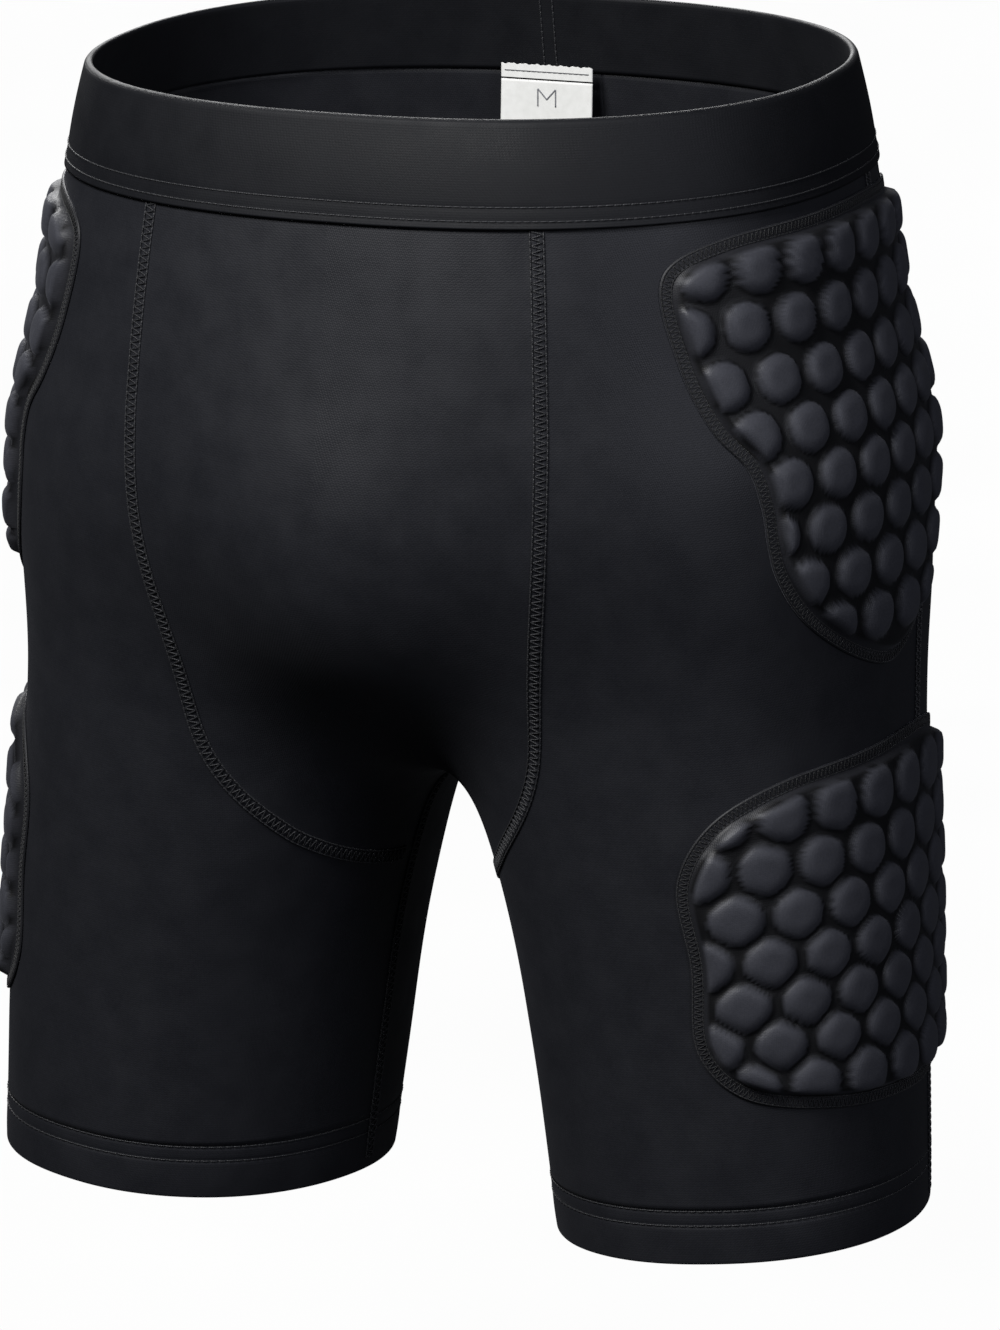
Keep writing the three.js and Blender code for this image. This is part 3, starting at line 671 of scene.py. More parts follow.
@dataclass(frozen=True)
class KnitCloth:
    """Warp or weft knit: rows of small V-shaped loops, with a soft filament sheen."""

    name: str
    colour: str
    lighter: str
    roughness: float
    sheen: float
    sheen_colour: str = "#9a9ca6"
    specular: float = 0.35
    ior: float = 1.5  # polyester and polyamide filament
    wale: float = 1.2  # real one is 0.5 mm; coarsened so that it shows
    course: float = 0.9  # real one is 0.35 mm; coarsened to go with the wale
    relief: float = 0.035  # height of the loops, mm
    mottle: float = 14.0  # size of the uneven patches, mm
    fuzz: float = 0.9  # size of the lint, mm
    loop_share: float = 0.35  # height of the loops against the ribs
    lint_share: float = 1.6  # height of the lint against the ribs
    lint_tone: float = 0.75  # share of the lighter colour that the lint brings
    patch_tone: float = 0.45  # share that the uneven patches bring
    unevenness: float = 0.05  # of the roughness
    channel_shade: str = ""  # colour of the painted shade in a pad's channels and on its flange, if any

    def build(self) -> bpy.types.Material:
        """Makes the node material.

        Returns:
            The material.
        """
        material, tree = blank(self.name)
        across, along = cloth_map(tree)
        wales = add_node(tree, MATH, {"operation": "DIVIDE", 1: self.wale * MM}, {0: across})
        # Each wale is a column of Vs: the loop's legs lean in to the column's middle.
        lean = add_node(tree, MATH, {"operation": "PINGPONG", 1: 0.5}, {0: wales})
        lifted = add_node(tree, MATH, {"operation": "MULTIPLY_ADD", 1: 1 / (self.course * MM)},
                          {0: along, 2: lean})
        waves = []
        for value in (lifted, lean):
            turns = add_node(tree, MATH, {"operation": "MULTIPLY", 1: 2 * math.pi}, {0: value})
            waves.append(add_node(tree, MATH, {"operation": "SINE"}, {0: turns}))
        loops, ribs = waves
        knit = add_node(tree, MATH, {"operation": "MULTIPLY_ADD", 1: self.loop_share}, {0: loops, 2: ribs})
        place = add_node(tree, "ShaderNodeTexCoord")
        fuzz = add_node(tree, "ShaderNodeTexNoise", {"Scale": 1 / (self.fuzz * MM), "Detail": 3.0},
                        {"Vector": place.outputs["Object"]})
        patches = add_node(tree, "ShaderNodeTexNoise", {"Scale": 1 / (self.mottle * MM), "Detail": 2.0},
                           {"Vector": place.outputs["Object"]})
        height = add_node(tree, MATH, {"operation": "MULTIPLY_ADD", 1: self.lint_share}, {0: fuzz, 2: knit})
        bump = add_node(tree, "ShaderNodeBump", {"Strength": 0.8, "Distance": self.relief * MM},
                        {"Height": height})
        uneven = add_node(tree, MATH, {"operation": "MULTIPLY", 1: self.patch_tone}, {0: patches})
        grain = add_node(tree, MATH, {"operation": "MULTIPLY_ADD", 1: self.lint_tone}, {0: fuzz, 2: uneven})
        tone = add_node(tree, "ShaderNodeMix", {"data_type": "RGBA", 6: linear(self.colour),
                                                7: linear(self.lighter)}, {0: grain})
        colour = tone.outputs[2]
        # Painted shade: the mesh's 'raised' share mixes a dark colour into the channels between domes and
        # onto the flange.
        if self.channel_shade:
            raised = add_node(tree, "ShaderNodeAttribute", {"attribute_name": "raised"})
            mixed = add_node(tree, "ShaderNodeMix", {"data_type": "RGBA", 6: linear(self.channel_shade)},
                             {0: raised.outputs["Fac"], 7: colour})
            colour = mixed.outputs[2]
        worn = add_node(tree, "ShaderNodeMapRange", {"From Min": 0.3, "From Max": 0.7,
                                                     "To Min": self.roughness - self.unevenness,
                                                     "To Max": self.roughness + self.unevenness},
                        {"Value": patches})
        shader = add_node(tree, "ShaderNodeBsdfPrincipled",
                          {"IOR": self.ior, "Specular IOR Level": self.specular,
                           "Sheen Weight": self.sheen, "Sheen Roughness": 0.45,
                           "Sheen Tint": linear(self.sheen_colour)},
                          {"Base Color": colour, "Roughness": worn, "Normal": bump})
        add_node(tree, "ShaderNodeOutputMaterial", links={0: shader})
        return material


@dataclass(frozen=True)
class SewingThread:
    """Textured polyester thread: plies that lean across the strand, with a small gloss."""

    name: str
    colour: str
    lighter: str
    roughness: float = 0.5
    ply: float = 0.8  # lay of the twist, mm; real one is 0.5 mm
    ior: float = 1.55

    def build(self) -> bpy.types.Material:
        """Makes the node material.

        Returns:
            The material.
        """
        material, tree = blank(self.name)
        round_it, along = cloth_map(tree)
        twist = add_node(tree, MATH, {"operation": "ADD"}, {0: round_it, 1: along})
        turns = add_node(tree, MATH, {"operation": "MULTIPLY", 1: 2 * math.pi / (self.ply * MM)}, {0: twist})
        plies = add_node(tree, MATH, {"operation": "SINE"}, {0: turns})
        bump = add_node(tree, "ShaderNodeBump", {"Strength": 0.7, "Distance": 0.05 * MM},
                        {"Height": plies})
        place = add_node(tree, "ShaderNodeTexCoord")
        lint = add_node(tree, "ShaderNodeTexNoise", {"Scale": 1 / (2.5 * MM), "Detail": 2.0},
                        {"Vector": place.outputs["Object"]})
        tone = add_node(tree, "ShaderNodeMix", {"data_type": "RGBA", 6: linear(self.colour),
                                                7: linear(self.lighter)}, {0: lint})
        shader = add_node(tree, "ShaderNodeBsdfPrincipled",
                          {"IOR": self.ior, "Roughness": self.roughness, "Sheen Weight": 0.1},
                          {"Base Color": tone.outputs[2], "Normal": bump})
        add_node(tree, "ShaderNodeOutputMaterial", links={0: shader})
        return material


@dataclass(frozen=True)
class PressedFoam:
    """Closed-cell foam, hot pressed: dull, with fine open pores where it was cut."""

    name: str = "closed_cell_foam"
    colour: str = "#1b1b1e"
    pore_colour: str = "#0c0c0d"
    pore: float = 0.8
    ior: float = 1.45

    def build(self) -> bpy.types.Material:
        """Makes the node material.

        Returns:
            The material.
        """
        material, tree = blank(self.name)
        place = add_node(tree, "ShaderNodeTexCoord")
        pores = add_node(tree, "ShaderNodeTexVoronoi", {"Scale": 1 / (self.pore * MM)},
                         {"Vector": place.outputs["Object"]})
        tone = add_node(tree, "ShaderNodeMix", {"data_type": "RGBA", 6: linear(self.pore_colour),
                                                7: linear(self.colour)}, {0: pores})
        bump = add_node(tree, "ShaderNodeBump", {"Strength": 0.6, "Distance": 0.1 * MM},
                        {"Height": pores})
        shader = add_node(tree, "ShaderNodeBsdfPrincipled", {"IOR": self.ior, "Roughness": 0.92},
                          {"Base Color": tone.outputs[2], "Normal": bump})
        add_node(tree, "ShaderNodeOutputMaterial", links={0: shader})
        return material


@dataclass(frozen=True)
class WovenTape:
    """Plain-woven narrow cloth: elastic webbing, or the satin of a label."""

    name: str
    colour: str
    lighter: str
    warp: float
    weft: float
    roughness: float
    sheen: float
    relief: float = 0.06
    weave_tone: float = 0.2  # how much the weave shows in the colour
    ior: float = 1.5

    def build(self) -> bpy.types.Material:
        """Makes the node material.

        Returns:
            The material.
        """
        material, tree = blank(self.name)
        waves = []
        for way, spacing in zip(cloth_map(tree), (self.warp, self.weft)):
            turns = add_node(tree, MATH, {"operation": "MULTIPLY", 1: 2 * math.pi / (spacing * MM)}, {0: way})
            waves.append(add_node(tree, MATH, {"operation": "SINE"}, {0: turns}))
        weave = add_node(tree, MATH, {"operation": "MULTIPLY"}, dict(enumerate(waves)))
        bump = add_node(tree, "ShaderNodeBump", {"Strength": 0.6, "Distance": self.relief * MM},
                        {"Height": weave})
        place = add_node(tree, "ShaderNodeTexCoord")
        slubs = add_node(tree, "ShaderNodeTexNoise", {"Scale": 1 / (3 * MM), "Detail": 3.0},
                         {"Vector": place.outputs["Object"]})
        shade = add_node(tree, MATH, {"operation": "MULTIPLY_ADD", 1: self.weave_tone}, {0: weave, 2: slubs})
        tone = add_node(tree, "ShaderNodeMix", {"data_type": "RGBA", 6: linear(self.colour),
                                                7: linear(self.lighter)}, {0: shade})
        shader = add_node(tree, "ShaderNodeBsdfPrincipled",
                          {"IOR": self.ior, "Roughness": self.roughness, "Sheen Weight": self.sheen},
                          {"Base Color": tone.outputs[2], "Normal": bump})
        add_node(tree, "ShaderNodeOutputMaterial", links={0: shader})
        return material


@dataclass
class Finishes:
    """Every finish of the shorts, made once."""

    def __post_init__(self) -> None:
        """Builds the materials."""
        # Circular-knit polyester and elastane, stretched smooth: soft charcoal, a broad dull sheen.
        self.jersey = KnitCloth("stretch_jersey", "#131418", "#232429", 0.5, 0.05).build()
        # The same yarn knitted closer and folded over elastic: a little flatter and darker.
        self.band = KnitCloth("waistband_knit", "#0c0d10", "#18191d", 0.56, 0.02,
                              specular=0.22, relief=0.03).build()
        # Heat-moulded jersey over the domes: stretched tight, so it is smoother and shines more.
        # A near-black colour is painted in as shade in the pads' channels and on their flanges.
        self.pad_cloth = KnitCloth("moulded_pad_jersey", "#2b2c31", "#45464d", 0.5, 0.16,
                                   relief=0.03, channel_shade="#08080a").build()
        self.foam = PressedFoam().build()
        # Textured polyester in the cloth's own shade, a touch glossier, so that rows catch light.
        self.thread = SewingThread("polyester_thread", "#0f1013", "#232429").build()
        # Overlock thread round the pads: duller than the other thread, and a deeper black.
        self.overlock = SewingThread("overlock_yarn", "#090a0c", "#17181b", 0.7).build()
        self.label_thread = SewingThread("label_thread", "#3a3b3f", "#5a5b60").build()
        self.size_thread = SewingThread("size_letter_thread", "#6c6d72", "#8c8d92", 0.6).build()
        # Braided elastic: dull, with the rubber's ribs showing through.
        self.elastic = WovenTape("elastic_webbing", "#121214", "#242427", 1.6, 1.2, 0.8, 0.1).build()
        # Woven satin, cut and folded: bright white with faint ribs.
        self.satin = WovenTape("label_satin_weave", "#e6e6e2", "#fbfbf8", 0.7, 0.5, 0.55, 0.1,
                               relief=0.03).build()


# ---------------------------------------------------------------- seam lines and panels


@dataclass(frozen=True)
class SeamLines:
    """Where the cloth is cut and sewn, drawn on the form's left half."""

    band_depth: float = 38
    under_band: float = 9.5  # cloth that runs up behind the waistband
    hem_joint: float = 20.6  # above the leg's edge, under the hem's upper row of stitches
    front_angle: float = math.radians(-54.5)
    side_y: float = 20
    arc_starts: float = 219
    arc_ends: float = 297
    straight_rows: int = 48
    fork_rows: int = 64
    leg_rows: int = 40
    rows_past_crotch: int = 16
    eased_rows: tuple = (22, 84)  # where the front seam bends softly from straight to arc
    easing: int = 90
    side_stations: tuple = (200, 305)  # depths where the rows of the side seam change their spacing
    middle_hub: float = 140  # depth from which the body's middle line is drawn
    middle_steps: int = 240
    hem_step: float = 4  # between the points over the hem
    hem_margin: float = 0.6  # left free above the leg's edge

    def __post_init__(self) -> None:
        """Works out the lines that several pieces share."""
        self._put("start", (self.band_depth - self.under_band) / FORM.length)
        self._put("end", 1 - self.hem_joint / FORM.length)
        self._put("fork_end", self.straight_rows + self.fork_rows)
        self._put("last", self.fork_end + self.leg_rows)
        self._put("crotch", self.fork_end - self.rows_past_crotch)
        self._put("front", self._front())
        self._put("side", self._side())
        self._put("front_inner", self._inner(-1))
        self._put("back_inner", self._inner(1))

    def _put(self, name: str, value: "int | float | Array") -> None:
        """Keeps a value that is worked out from the sizes."""
        object.__setattr__(self, name, value)

    def _rows(self, first: float, second: float, third: float, fourth: float) -> Array:
        """A value for every row that runs straight between one station for each stretch."""
        stations = [0, self.straight_rows, self.fork_end, self.last]
        return np.interp(np.arange(self.last + 1), stations, [first, second, third, fourth])

    def _front(self) -> Array:
        """Front seam: down at a steady bearing, then an arc to the inner leg, then the inseam.

        Returns:
            A point for each row.
        """
        arc = self.arc_starts / FORM.length
        joint = self.arc_ends / FORM.length
        v = self._rows(self.start, arc, joint, self.end)
        centre, outward, back = FORM.slice_at(v)
        hub = centre - outward * (centre[:, :1] / outward[:, :1])
        bearing = (math.cos(self.front_angle) / outward[:, :1] * outward
                   + math.sin(self.front_angle) / back[:, 1:2] * back)
        straight = FORM.shoot(hub[:self.straight_rows + 1], bearing[:self.straight_rows + 1])
        angle_there = float(FORM.locate(straight[-1:])[1][0])
        turn = np.linspace(0, math.pi / 2, self.fork_rows + 1)[1:]
        swing_v = arc + (joint - arc) * np.sin(turn)
        swing_angle = angle_there + (-math.pi - angle_there) * (1 - np.cos(turn))
        swing = FORM.on_slice(swing_v, swing_angle)
        leg = FORM.on_slice(v[self.fork_end + 1:], math.pi)
        line = np.concatenate([straight, swing, leg])
        first, last = self.eased_rows
        for _ in range(self.easing):
            line[first:last] = (line[first - 1:last - 1] + 2 * line[first:last]
                                + line[first + 1:last + 1]) / 4
        line[first:last] = FORM.settle(line[first:last])
        return line

    def _side(self) -> Array:
        """Side seam: a steady distance behind the side line.

        Returns:
            A point for each row.
        """
        upper, lower = self.side_stations
        v = self._rows(self.start, upper / FORM.length, lower / FORM.length, self.end)
        centre, outward, back = FORM.slice_at(v)
        return FORM.shoot(centre + back * (self.side_y / back[:, 1:2]), outward)

    def _inner(self, facing: int) -> Array:
        """Middle line of the front (-1) or back (+1) to the crotch, then the inseam.

        Args:
            facing: -1 for the front, +1 for the back.

        Returns:
            A point for each row.
        """
        hub = np.array([0.0, 0.0, -self.middle_hub])
        start = FORM.on_slice(self.start, facing * math.pi / 2, whole_waist=True)
        first = math.atan2(start[2] - hub[2], facing * start[1])
        turn = np.linspace(first, -math.pi / 2, self.middle_steps)
        rays = np.stack([np.zeros_like(turn), facing * np.cos(turn), np.sin(turn)], -1)
        middle = respaced(FORM.shoot(hub, rays), self.crotch + 1)
        crotch_v = float(FORM.locate(middle[-1:])[0][0])
        rows = np.arange(self.crotch + 1, self.last + 1)
        v = np.interp(rows, [self.crotch, self.fork_end, self.last],
                      [crotch_v, self.arc_ends / FORM.length, self.end])
        return np.concatenate([middle, FORM.on_slice(v, math.pi)])

    def to_hem(self, line: Array, angle: Optional[float] = None) -> Array:
        """A leg line carried on over the turned hem, to just above its edge.

        Args:
            line: The line, down to the top of the hem.
            angle: Its angle round the leg, or None for the side seam's own run.

        Returns:
            The longer line.
        """
        step = self.hem_step / FORM.length
        v = np.arange(self.end + step, 1 - self.hem_margin / FORM.length, step)
        if angle is not None:
            return np.concatenate([line, FORM.on_slice(v, angle)])
        centre, outward, back = FORM.slice_at(v)
        more = FORM.shoot(centre + back * (self.side_y / back[:, 1:2]), outward)
        return np.concatenate([line, more])


@dataclass
class Panels:
    """The five cut pieces of stretch jersey, sewn edge to edge."""

    lines: SeamLines
    cloth: float = 0.9
    ridge: float = 0.3  # cloth lifted along a flatlock seam
    ridge_width: float = 2.4
    pucker: float = 5.0  # distance between the small gathers along a seam
    gather: float = 0.3  # how much a gather adds to the ridge
    crowding: float = 0.4  # how far the columns draw together near the edges
    mean_radius: float = 84.0  # of a leg, for the run of the knit round it
    front_columns: int = 40
    wide_columns: int = 72
    # Pattern sizes, width by length in metres, with the share of that box that the cut fills.
    front_cut: tuple = (0.215, 0.275, 0.80)
    leg_cut: tuple = (0.190, 0.360, 0.80)
    back_cut: tuple = (0.265, 0.365, 0.80)

    def _grid(self, first: Array, second: Array, columns: int, backwards: bool) -> tuple[Array, Array]:
        """Points of the form between two lines with a point for each row.

        Args:
            first: One edge.
            second: The other edge.
            columns: Cells from edge to edge, closer together near the edges.
            backwards: The piece passes the back of the leg, and not the front.

        Returns:
            The points, and their cloth map.
        """
        ends = []
        for line in (first, second):
            v, angle, distance = FORM.locate(line)
            if backwards:
                angle = np.where(angle < -math.pi / 2, angle + 2 * math.pi, angle)
            else:
                angle = np.where(angle > math.pi / 2, angle - 2 * math.pi, angle)
            ends.append(np.stack([v, angle, distance], -1))
        even = np.linspace(0, 1, columns + 1)
        eased = 0.5 - 0.5 * np.cos(math.pi * even)
        share = ((1 - self.crowding) * even + self.crowding * eased)[None, :, None]
        v, angle, distance = np.moveaxis(ends[0][:, None] * (1 - share) + ends[1][:, None] * share, -1, 0)
        centre, outward, back = FORM.slice_at(v)
        rough = centre + distance[..., None] * (np.cos(angle)[..., None] * outward
                                                + np.sin(angle)[..., None] * back)
        grid = FORM.settle(rough)
        grid[0] = FORM.on_slice(v[0], angle[0])
        if len(first) == self.lines.last + 1:
            grid[-1] = FORM.on_slice(v[-1], angle[-1])
        grid[:, 0], grid[:, -1] = first, second
        cloth = np.stack([angle * self.mean_radius, v * FORM.length], -1)
        return grid, cloth

    def _solid(self, grid: Array, cloth: Array, open_rows: int = 0) -> Solid:
        """Cloth of one thickness over a grid, lifted a little along its sewn edges.

        Args:
            grid: Points between two sewn edges.
            cloth: Their cloth map.
            open_rows: Rows that end on the body's middle line, where the cloth goes on.

        Returns:
            The cloth.
        """
        near = lengths_along(grid, 1)
        far = near[:, -1:] - near
        if open_rows:
            far = np.where(np.arange(len(grid))[:, None] <= open_rows, np.inf, far)
        lift = np.exp(-(near / self.ridge_width) ** 2) + np.exp(-(far / self.ridge_width) ** 2)
        gathers = 1 + self.gather * np.sin(2 * math.pi * cloth[..., 1] / self.pucker)
        height = self.ridge * lift * gathers
        outer = FORM.raised(grid, height)
        inner = FORM.raised(grid, np.full_like(height, -self.cloth))
        if open_rows:
            outer[:open_rows + 1, -1, 0] = 0
            inner[:open_rows + 1, -1, 0] = 0
        solid = Solid()
        solid.sheet(outer, inner, cloth, open_rows=open_rows)
        return solid

    def _enter(self, solid: Solid, name: str, finish: bpy.types.Material,
               merge: float = 0.0) -> None:
        """Makes one panel.

        Args:
            solid: Its shape.
            name: The CAD node.
            finish: Its finish.
            merge: Points nearer than this, in mm, become one.
        """
        obj = solid.piece(name, finish, merge)
        enter(obj, [name])

    def build(self, finish: Finishes) -> None:
        """Makes the panels.

        Args:
            finish: The finishes.
        """
        lines = self.lines
        rows = lines.fork_end
        grid, cloth = self._grid(lines.front[:rows], lines.front_inner[:rows], self.front_columns, False)
        half = self._solid(grid, cloth, open_rows=lines.crotch)
        self._enter(half.joined(half.mirrored()), "front_panel", finish.jersey, 0.002)
        leg = self._solid(*self._grid(lines.front, lines.side, self.wide_columns, False))
        back = self._solid(*self._grid(lines.side, lines.back_inner, self.wide_columns, True))
        for side in Side:
            self._enter(leg.on(side), f"{side.label}_leg_panel", finish.jersey)
            self._enter(back.on(side), f"{side.label}_back_panel", finish.jersey)


# ---------------------------------------------------------------- stitching


@dataclass(frozen=True)
class StitchRun:
    """Threads of one seam, laid over the cloth's face."""

    kind: Stitch
    width: float = 4.8
    pitch: float = 2.6
    needle: float = 0.3  # half the thickness of a needle thread
    cover: float = 0.24
    bite: float = 0.3  # how far a stitch sinks at its ends
    samples: int = 10  # points along one stitch
    loft: float = 0.5  # the lower, the more sharply a stitch rises from its ends
    proud: float = 0.6  # how much of a needle thread's radius stands above the line
    lace_swing: float = 0.46  # of the width, to each side
    lace_proud: float = 1.1

    def lay(self, solid: Solid, middle: Array, normal: Array, height: float, closed: bool = False) -> None:
        """Adds the threads along a line.

        Args:
            solid: Where they go.
            middle: The seam's line, on the cloth's face, in mm.
            normal: The cloth's outward direction at each point.
            height: How far the threads lie above the line.
            closed: The line ends where it starts.
        """
        if closed:
            middle = np.concatenate([middle, middle[:1]])
            normal = np.concatenate([normal, normal[:1]])
        along = lengths_along(middle)
        stitches = max(2, round(along[-1] / self.pitch))
        count = stitches * self.samples + (0 if closed else 1)
        s = np.linspace(0, along[-1], count, endpoint=not closed)
        path = np.stack([np.interp(s, along, middle[:, k]) for k in range(3)], -1)
        up = unit(np.stack([np.interp(s, along, normal[:, k]) for k in range(3)], -1))
        forward = (unit(np.roll(path, -1, 0) - np.roll(path, 1, 0)) if closed
                   else unit(np.gradient(path, axis=0)))
        across = unit(np.cross(up, forward))
        turn = s / along[-1] * stitches
        loft = np.abs(np.sin(math.pi * turn)) ** self.loft
        rows = {Stitch.FLATLOCK: (-0.5, 0.5), Stitch.TWIN_NEEDLE: (-0.5, 0.5), Stitch.SINGLE: (0.0,)}
        for offset in rows[self.kind]:
            lift = height + self.needle * self.proud - self.bite * (1 - loft)
            row = path + across * (offset * self.width) + up * lift[:, None]
            solid.strand(row, up, self.needle, closed)
        if self.kind is Stitch.FLATLOCK:
            swing = 2 / math.pi * np.arcsin(np.sin(2 * math.pi * turn))
            lace = path + across * (swing * self.width * self.lace_swing)[:, None]
            solid.strand(lace + up * (height + self.cover * self.lace_proud), up, self.cover, closed)


@dataclass
class FlatlockSeams:
    """Seams that join the panels edge to edge, flat against the skin."""

    lines: SeamLines
    run: StitchRun = StitchRun(Stitch.FLATLOCK)
    height: float = 0.3
    spacing: float = 2  # between the points of a line
    clear_rows: int = 2  # left free under the waistband, and where the front seams meet

    def _lay(self, solid: Solid, line: Array) -> None:
        """Stitches one line of the form."""
        dense = FORM.settle(respaced(line, round(lengths_along(line)[-1] / self.spacing)), 2)
        self.run.lay(solid, FORM.raised(dense, np.zeros(len(dense))), unit(FORM.gradient(dense)), self.height)

    def build(self, finish: Finishes) -> None:
        """Makes the front, side, centre back and inner leg seams.

        Args:
            finish: The finishes.
        """
        lines = self.lines
        clear = self.clear_rows
        whole = lines.to_hem(lines.side)
        for name, line in (("front_seam", lines.front[clear:lines.fork_end - clear]),
                           ("side_seam", whole[clear:])):
            solid = Solid()
            self._lay(solid, line)
            for side in Side:
                node = f"{side.label}_{name}"
                enter(solid.on(side).piece(node, finish.thread), [node])
        back = Solid()
        self._lay(back, lines.back_inner[clear:lines.crotch - 1])
        enter(back.piece("centre_back_seam", finish.thread), ["centre_back_seam"])
        leg = lines.to_hem(lines.back_inner[lines.crotch + 1:], math.pi)[::-1]
        across = np.concatenate([leg, lines.back_inner[lines.crotch][None], leg[::-1] * np.array([-1, 1, 1])])
        inseam = Solid()
        self._lay(inseam, across)
        enter(inseam.piece("inseam", finish.thread), ["inseam"])


# ---------------------------------------------------------------- waistband and hems


def swept(section: Sequence[tuple[float, float]], segments: int, whole_waist: bool) -> tuple[Array, Array]:
    """Sweeps a closed section round the waist or round the left leg.

    Args:
        section: Depth and height of each of its points, in mm.
        segments: Steps round the ring.
        whole_waist: Round the waist, and not the leg.

    Returns:
        The grid of points, and its cloth map with one more row and column.
    """
    depth, height = np.array(section, float).T
    angle = np.linspace(0, 2 * math.pi, segments, endpoint=False)
    levels, back_to = np.unique(depth, return_inverse=True)
    p = FORM.on_slice(levels[:, None] / FORM.length, angle[None], whole_waist)
    _, outward, back = FORM.slice_at(levels / FORM.length)
    plane = np.cross(outward, back)[:, None]
    flat = FORM.gradient(p)
    flat = unit(flat - plane * (flat * plane).sum(-1, keepdims=True))
    lift = FORM.undulation(p)
    p, flat, lift = p[back_to], flat[back_to], lift[back_to]
    grid = p + flat * (height[:, None] + lift)[..., None]
    looped = np.concatenate([grid, grid[:1]], 0)
    looped = np.concatenate([looped, looped[:, :1]], 1)
    cloth = np.stack([lengths_along(looped, 1), lengths_along(looped, 0)], -1)
    return grid, cloth


def ring_line(depth: float, height: float, segments: int, whole_waist: bool) -> tuple[Array, Array]:
    """A level line round the waist or the left leg, and the outward direction along it.

    Args:
        depth: How far below the waist opening.
        height: How far above the form.
        segments: Points round the ring.
        whole_waist: Round the waist, and not the leg.

    Returns:
        The line, and the outward direction along it.
    """
    angle = np.linspace(0, 2 * math.pi, segments, endpoint=False)
    p = FORM.on_slice(depth / FORM.length, angle, whole_waist)
    normal = unit(FORM.gradient(p))
    return p + normal * (height + FORM.undulation(p))[:, None], normal


@dataclass
class Waistband:
    """Folded knit cover over a wide elastic, closed by two rows of needle stitches."""

    depth: float = 38
    outer_face: float = 1.0
    ply: float = 0.7
    inner_face: float = -2.1
    rows_at: tuple = (30.3, 35.2)
    groove: float = 0.08
    puff: float = 0.45
    inner_ply_ends: float = 29.5
    stitch_reach: float = 0.9  # over which a row of stitches draws the cloth in
    lip: float = 0.15  # rise of the free edge under the lower row
    elastic_edges: tuple = (2.4, 28.5)
    elastic_faces: tuple = (-0.15, -0.95)
    rib: float = 2.4  # distance between the elastic's ribs
    rib_height: float = 0.1
    join_width: float = 5.0
    join_ends: tuple = (1.6, 1.5)  # left free at the fold and above the upper row
    thread_lift: float = 0.05
    segments: int = 300
    cut: tuple = (0.72, 0.09)  # a tube of cloth, opened flat, before it is folded

    def _relief(self, depth: Array) -> Array:
        """Height of the outer ply: full over the elastic, drawn in by each row of stitches.

        Args:
            depth: Depths below the waist opening.

        Returns:
            Heights above the form.
        """
        body = self.puff * np.sin(math.pi * np.clip(depth / self.rows_at[0], 0, 1)) ** 0.8
        rows = sum(np.exp(-((depth - row) / self.stitch_reach) ** 2) for row in self.rows_at)
        lip = self.lip * np.clip((depth - self.rows_at[1]) / 2, 0, 1)
        return self.outer_face + body - self.groove * rows + lip

    def _section(self) -> list[tuple[float, float]]:
        """The cover's closed section: outer ply, fold, inner ply, open along its lower edge.

        Returns:
            Depth and height of each point.
        """
        thick = self.outer_face - self.inner_face
        radius = thick / 2
        level = self.outer_face - radius
        down = np.linspace(radius, self.depth, 44)
        turn = np.linspace(0, math.pi, 9)[1:-1]
        outer = list(zip(down[::-1], self._relief(down[::-1])))
        fold = [(radius * (1 - math.sin(t)), level + radius * math.cos(t)) for t in turn]
        inner = [(d, self.inner_face) for d in np.linspace(radius, self.inner_ply_ends, 22)]
        tight = radius - self.ply
        under = np.linspace(self.inner_ply_ends, radius, 20)
        inside = [(d, self.inner_face + self.ply) for d in under]
        back = [(radius - tight * math.sin(t), level - tight * math.cos(t)) for t in turn[1::2]]
        outside = [(d, float(self._relief(np.array(d))) - self.ply) for d in under[::-1]]
        return outer + fold + inner + inside + back + outside

    def _back_seam(self, height: float, outwards: int) -> Solid:
        """Upright stitching where the band is joined, on one of its faces.

        Args:
            height: The face's height above the form.
            outwards: 1 on the outer face, -1 on the inner one.

        Returns:
            The threads.
        """
        depth = np.linspace(self.join_ends[0], self.rows_at[0] - self.join_ends[1], 24)
        centre, _, back = FORM.slice_at(depth / FORM.length)
        p = FORM.shoot(centre * np.array([0, 1, 1]) + np.array([BACK_JOIN_X, 0, 0]), back)
        normal = unit(FORM.gradient(p))
        face = height + (self._relief(depth) - self.outer_face if outwards > 0 else 0 * depth)
        middle = p + normal * (face + FORM.undulation(p))[:, None]
        solid = Solid()
        run = StitchRun(Stitch.TWIN_NEEDLE, width=self.join_width)
        run.lay(solid, middle, normal * outwards, self.thread_lift)
        return solid

    def build(self, finish: Finishes) -> None:
        """Makes the cover, the elastic, the stitching and the joining seam.

        Args:
            finish: The finishes.
        """
        cover = Solid()
        cover.hoop(*swept(self._section(), self.segments, True))
        obj = cover.piece("waistband_cover", finish.band)
        enter(obj, ["waistband_cover"])
        ribs = np.linspace(*self.elastic_edges, 54)
        wave = self.rib_height * np.sin(2 * math.pi * ribs / self.rib)
        outer, inner = self.elastic_faces
        section = list(zip(ribs, outer + wave)) + list(zip(ribs[::-1], inner - wave[::-1]))
        elastic = Solid()
        elastic.hoop(*swept(section, self.segments, True))
        enter(elastic.piece("waistband_elastic", finish.elastic), ["waistband_elastic"])
        stitches = Solid()
        run = StitchRun(Stitch.SINGLE, pitch=3.0, needle=0.26, bite=0.45)
        for row in self.rows_at:
            height = float(self._relief(np.array(row)))
            run.lay(stitches, *ring_line(row, height, 480, True), self.thread_lift, closed=True)
        enter(stitches.piece("waistband_coverstitch", finish.thread), ["waistband_coverstitch"])
        for where, height, outwards in (("outside", self.outer_face, 1), ("inside", self.inner_face, -1)):
            node = f"waistband_back_seam_{where}"
            enter(self._back_seam(height, outwards).piece(node, finish.thread), [node])


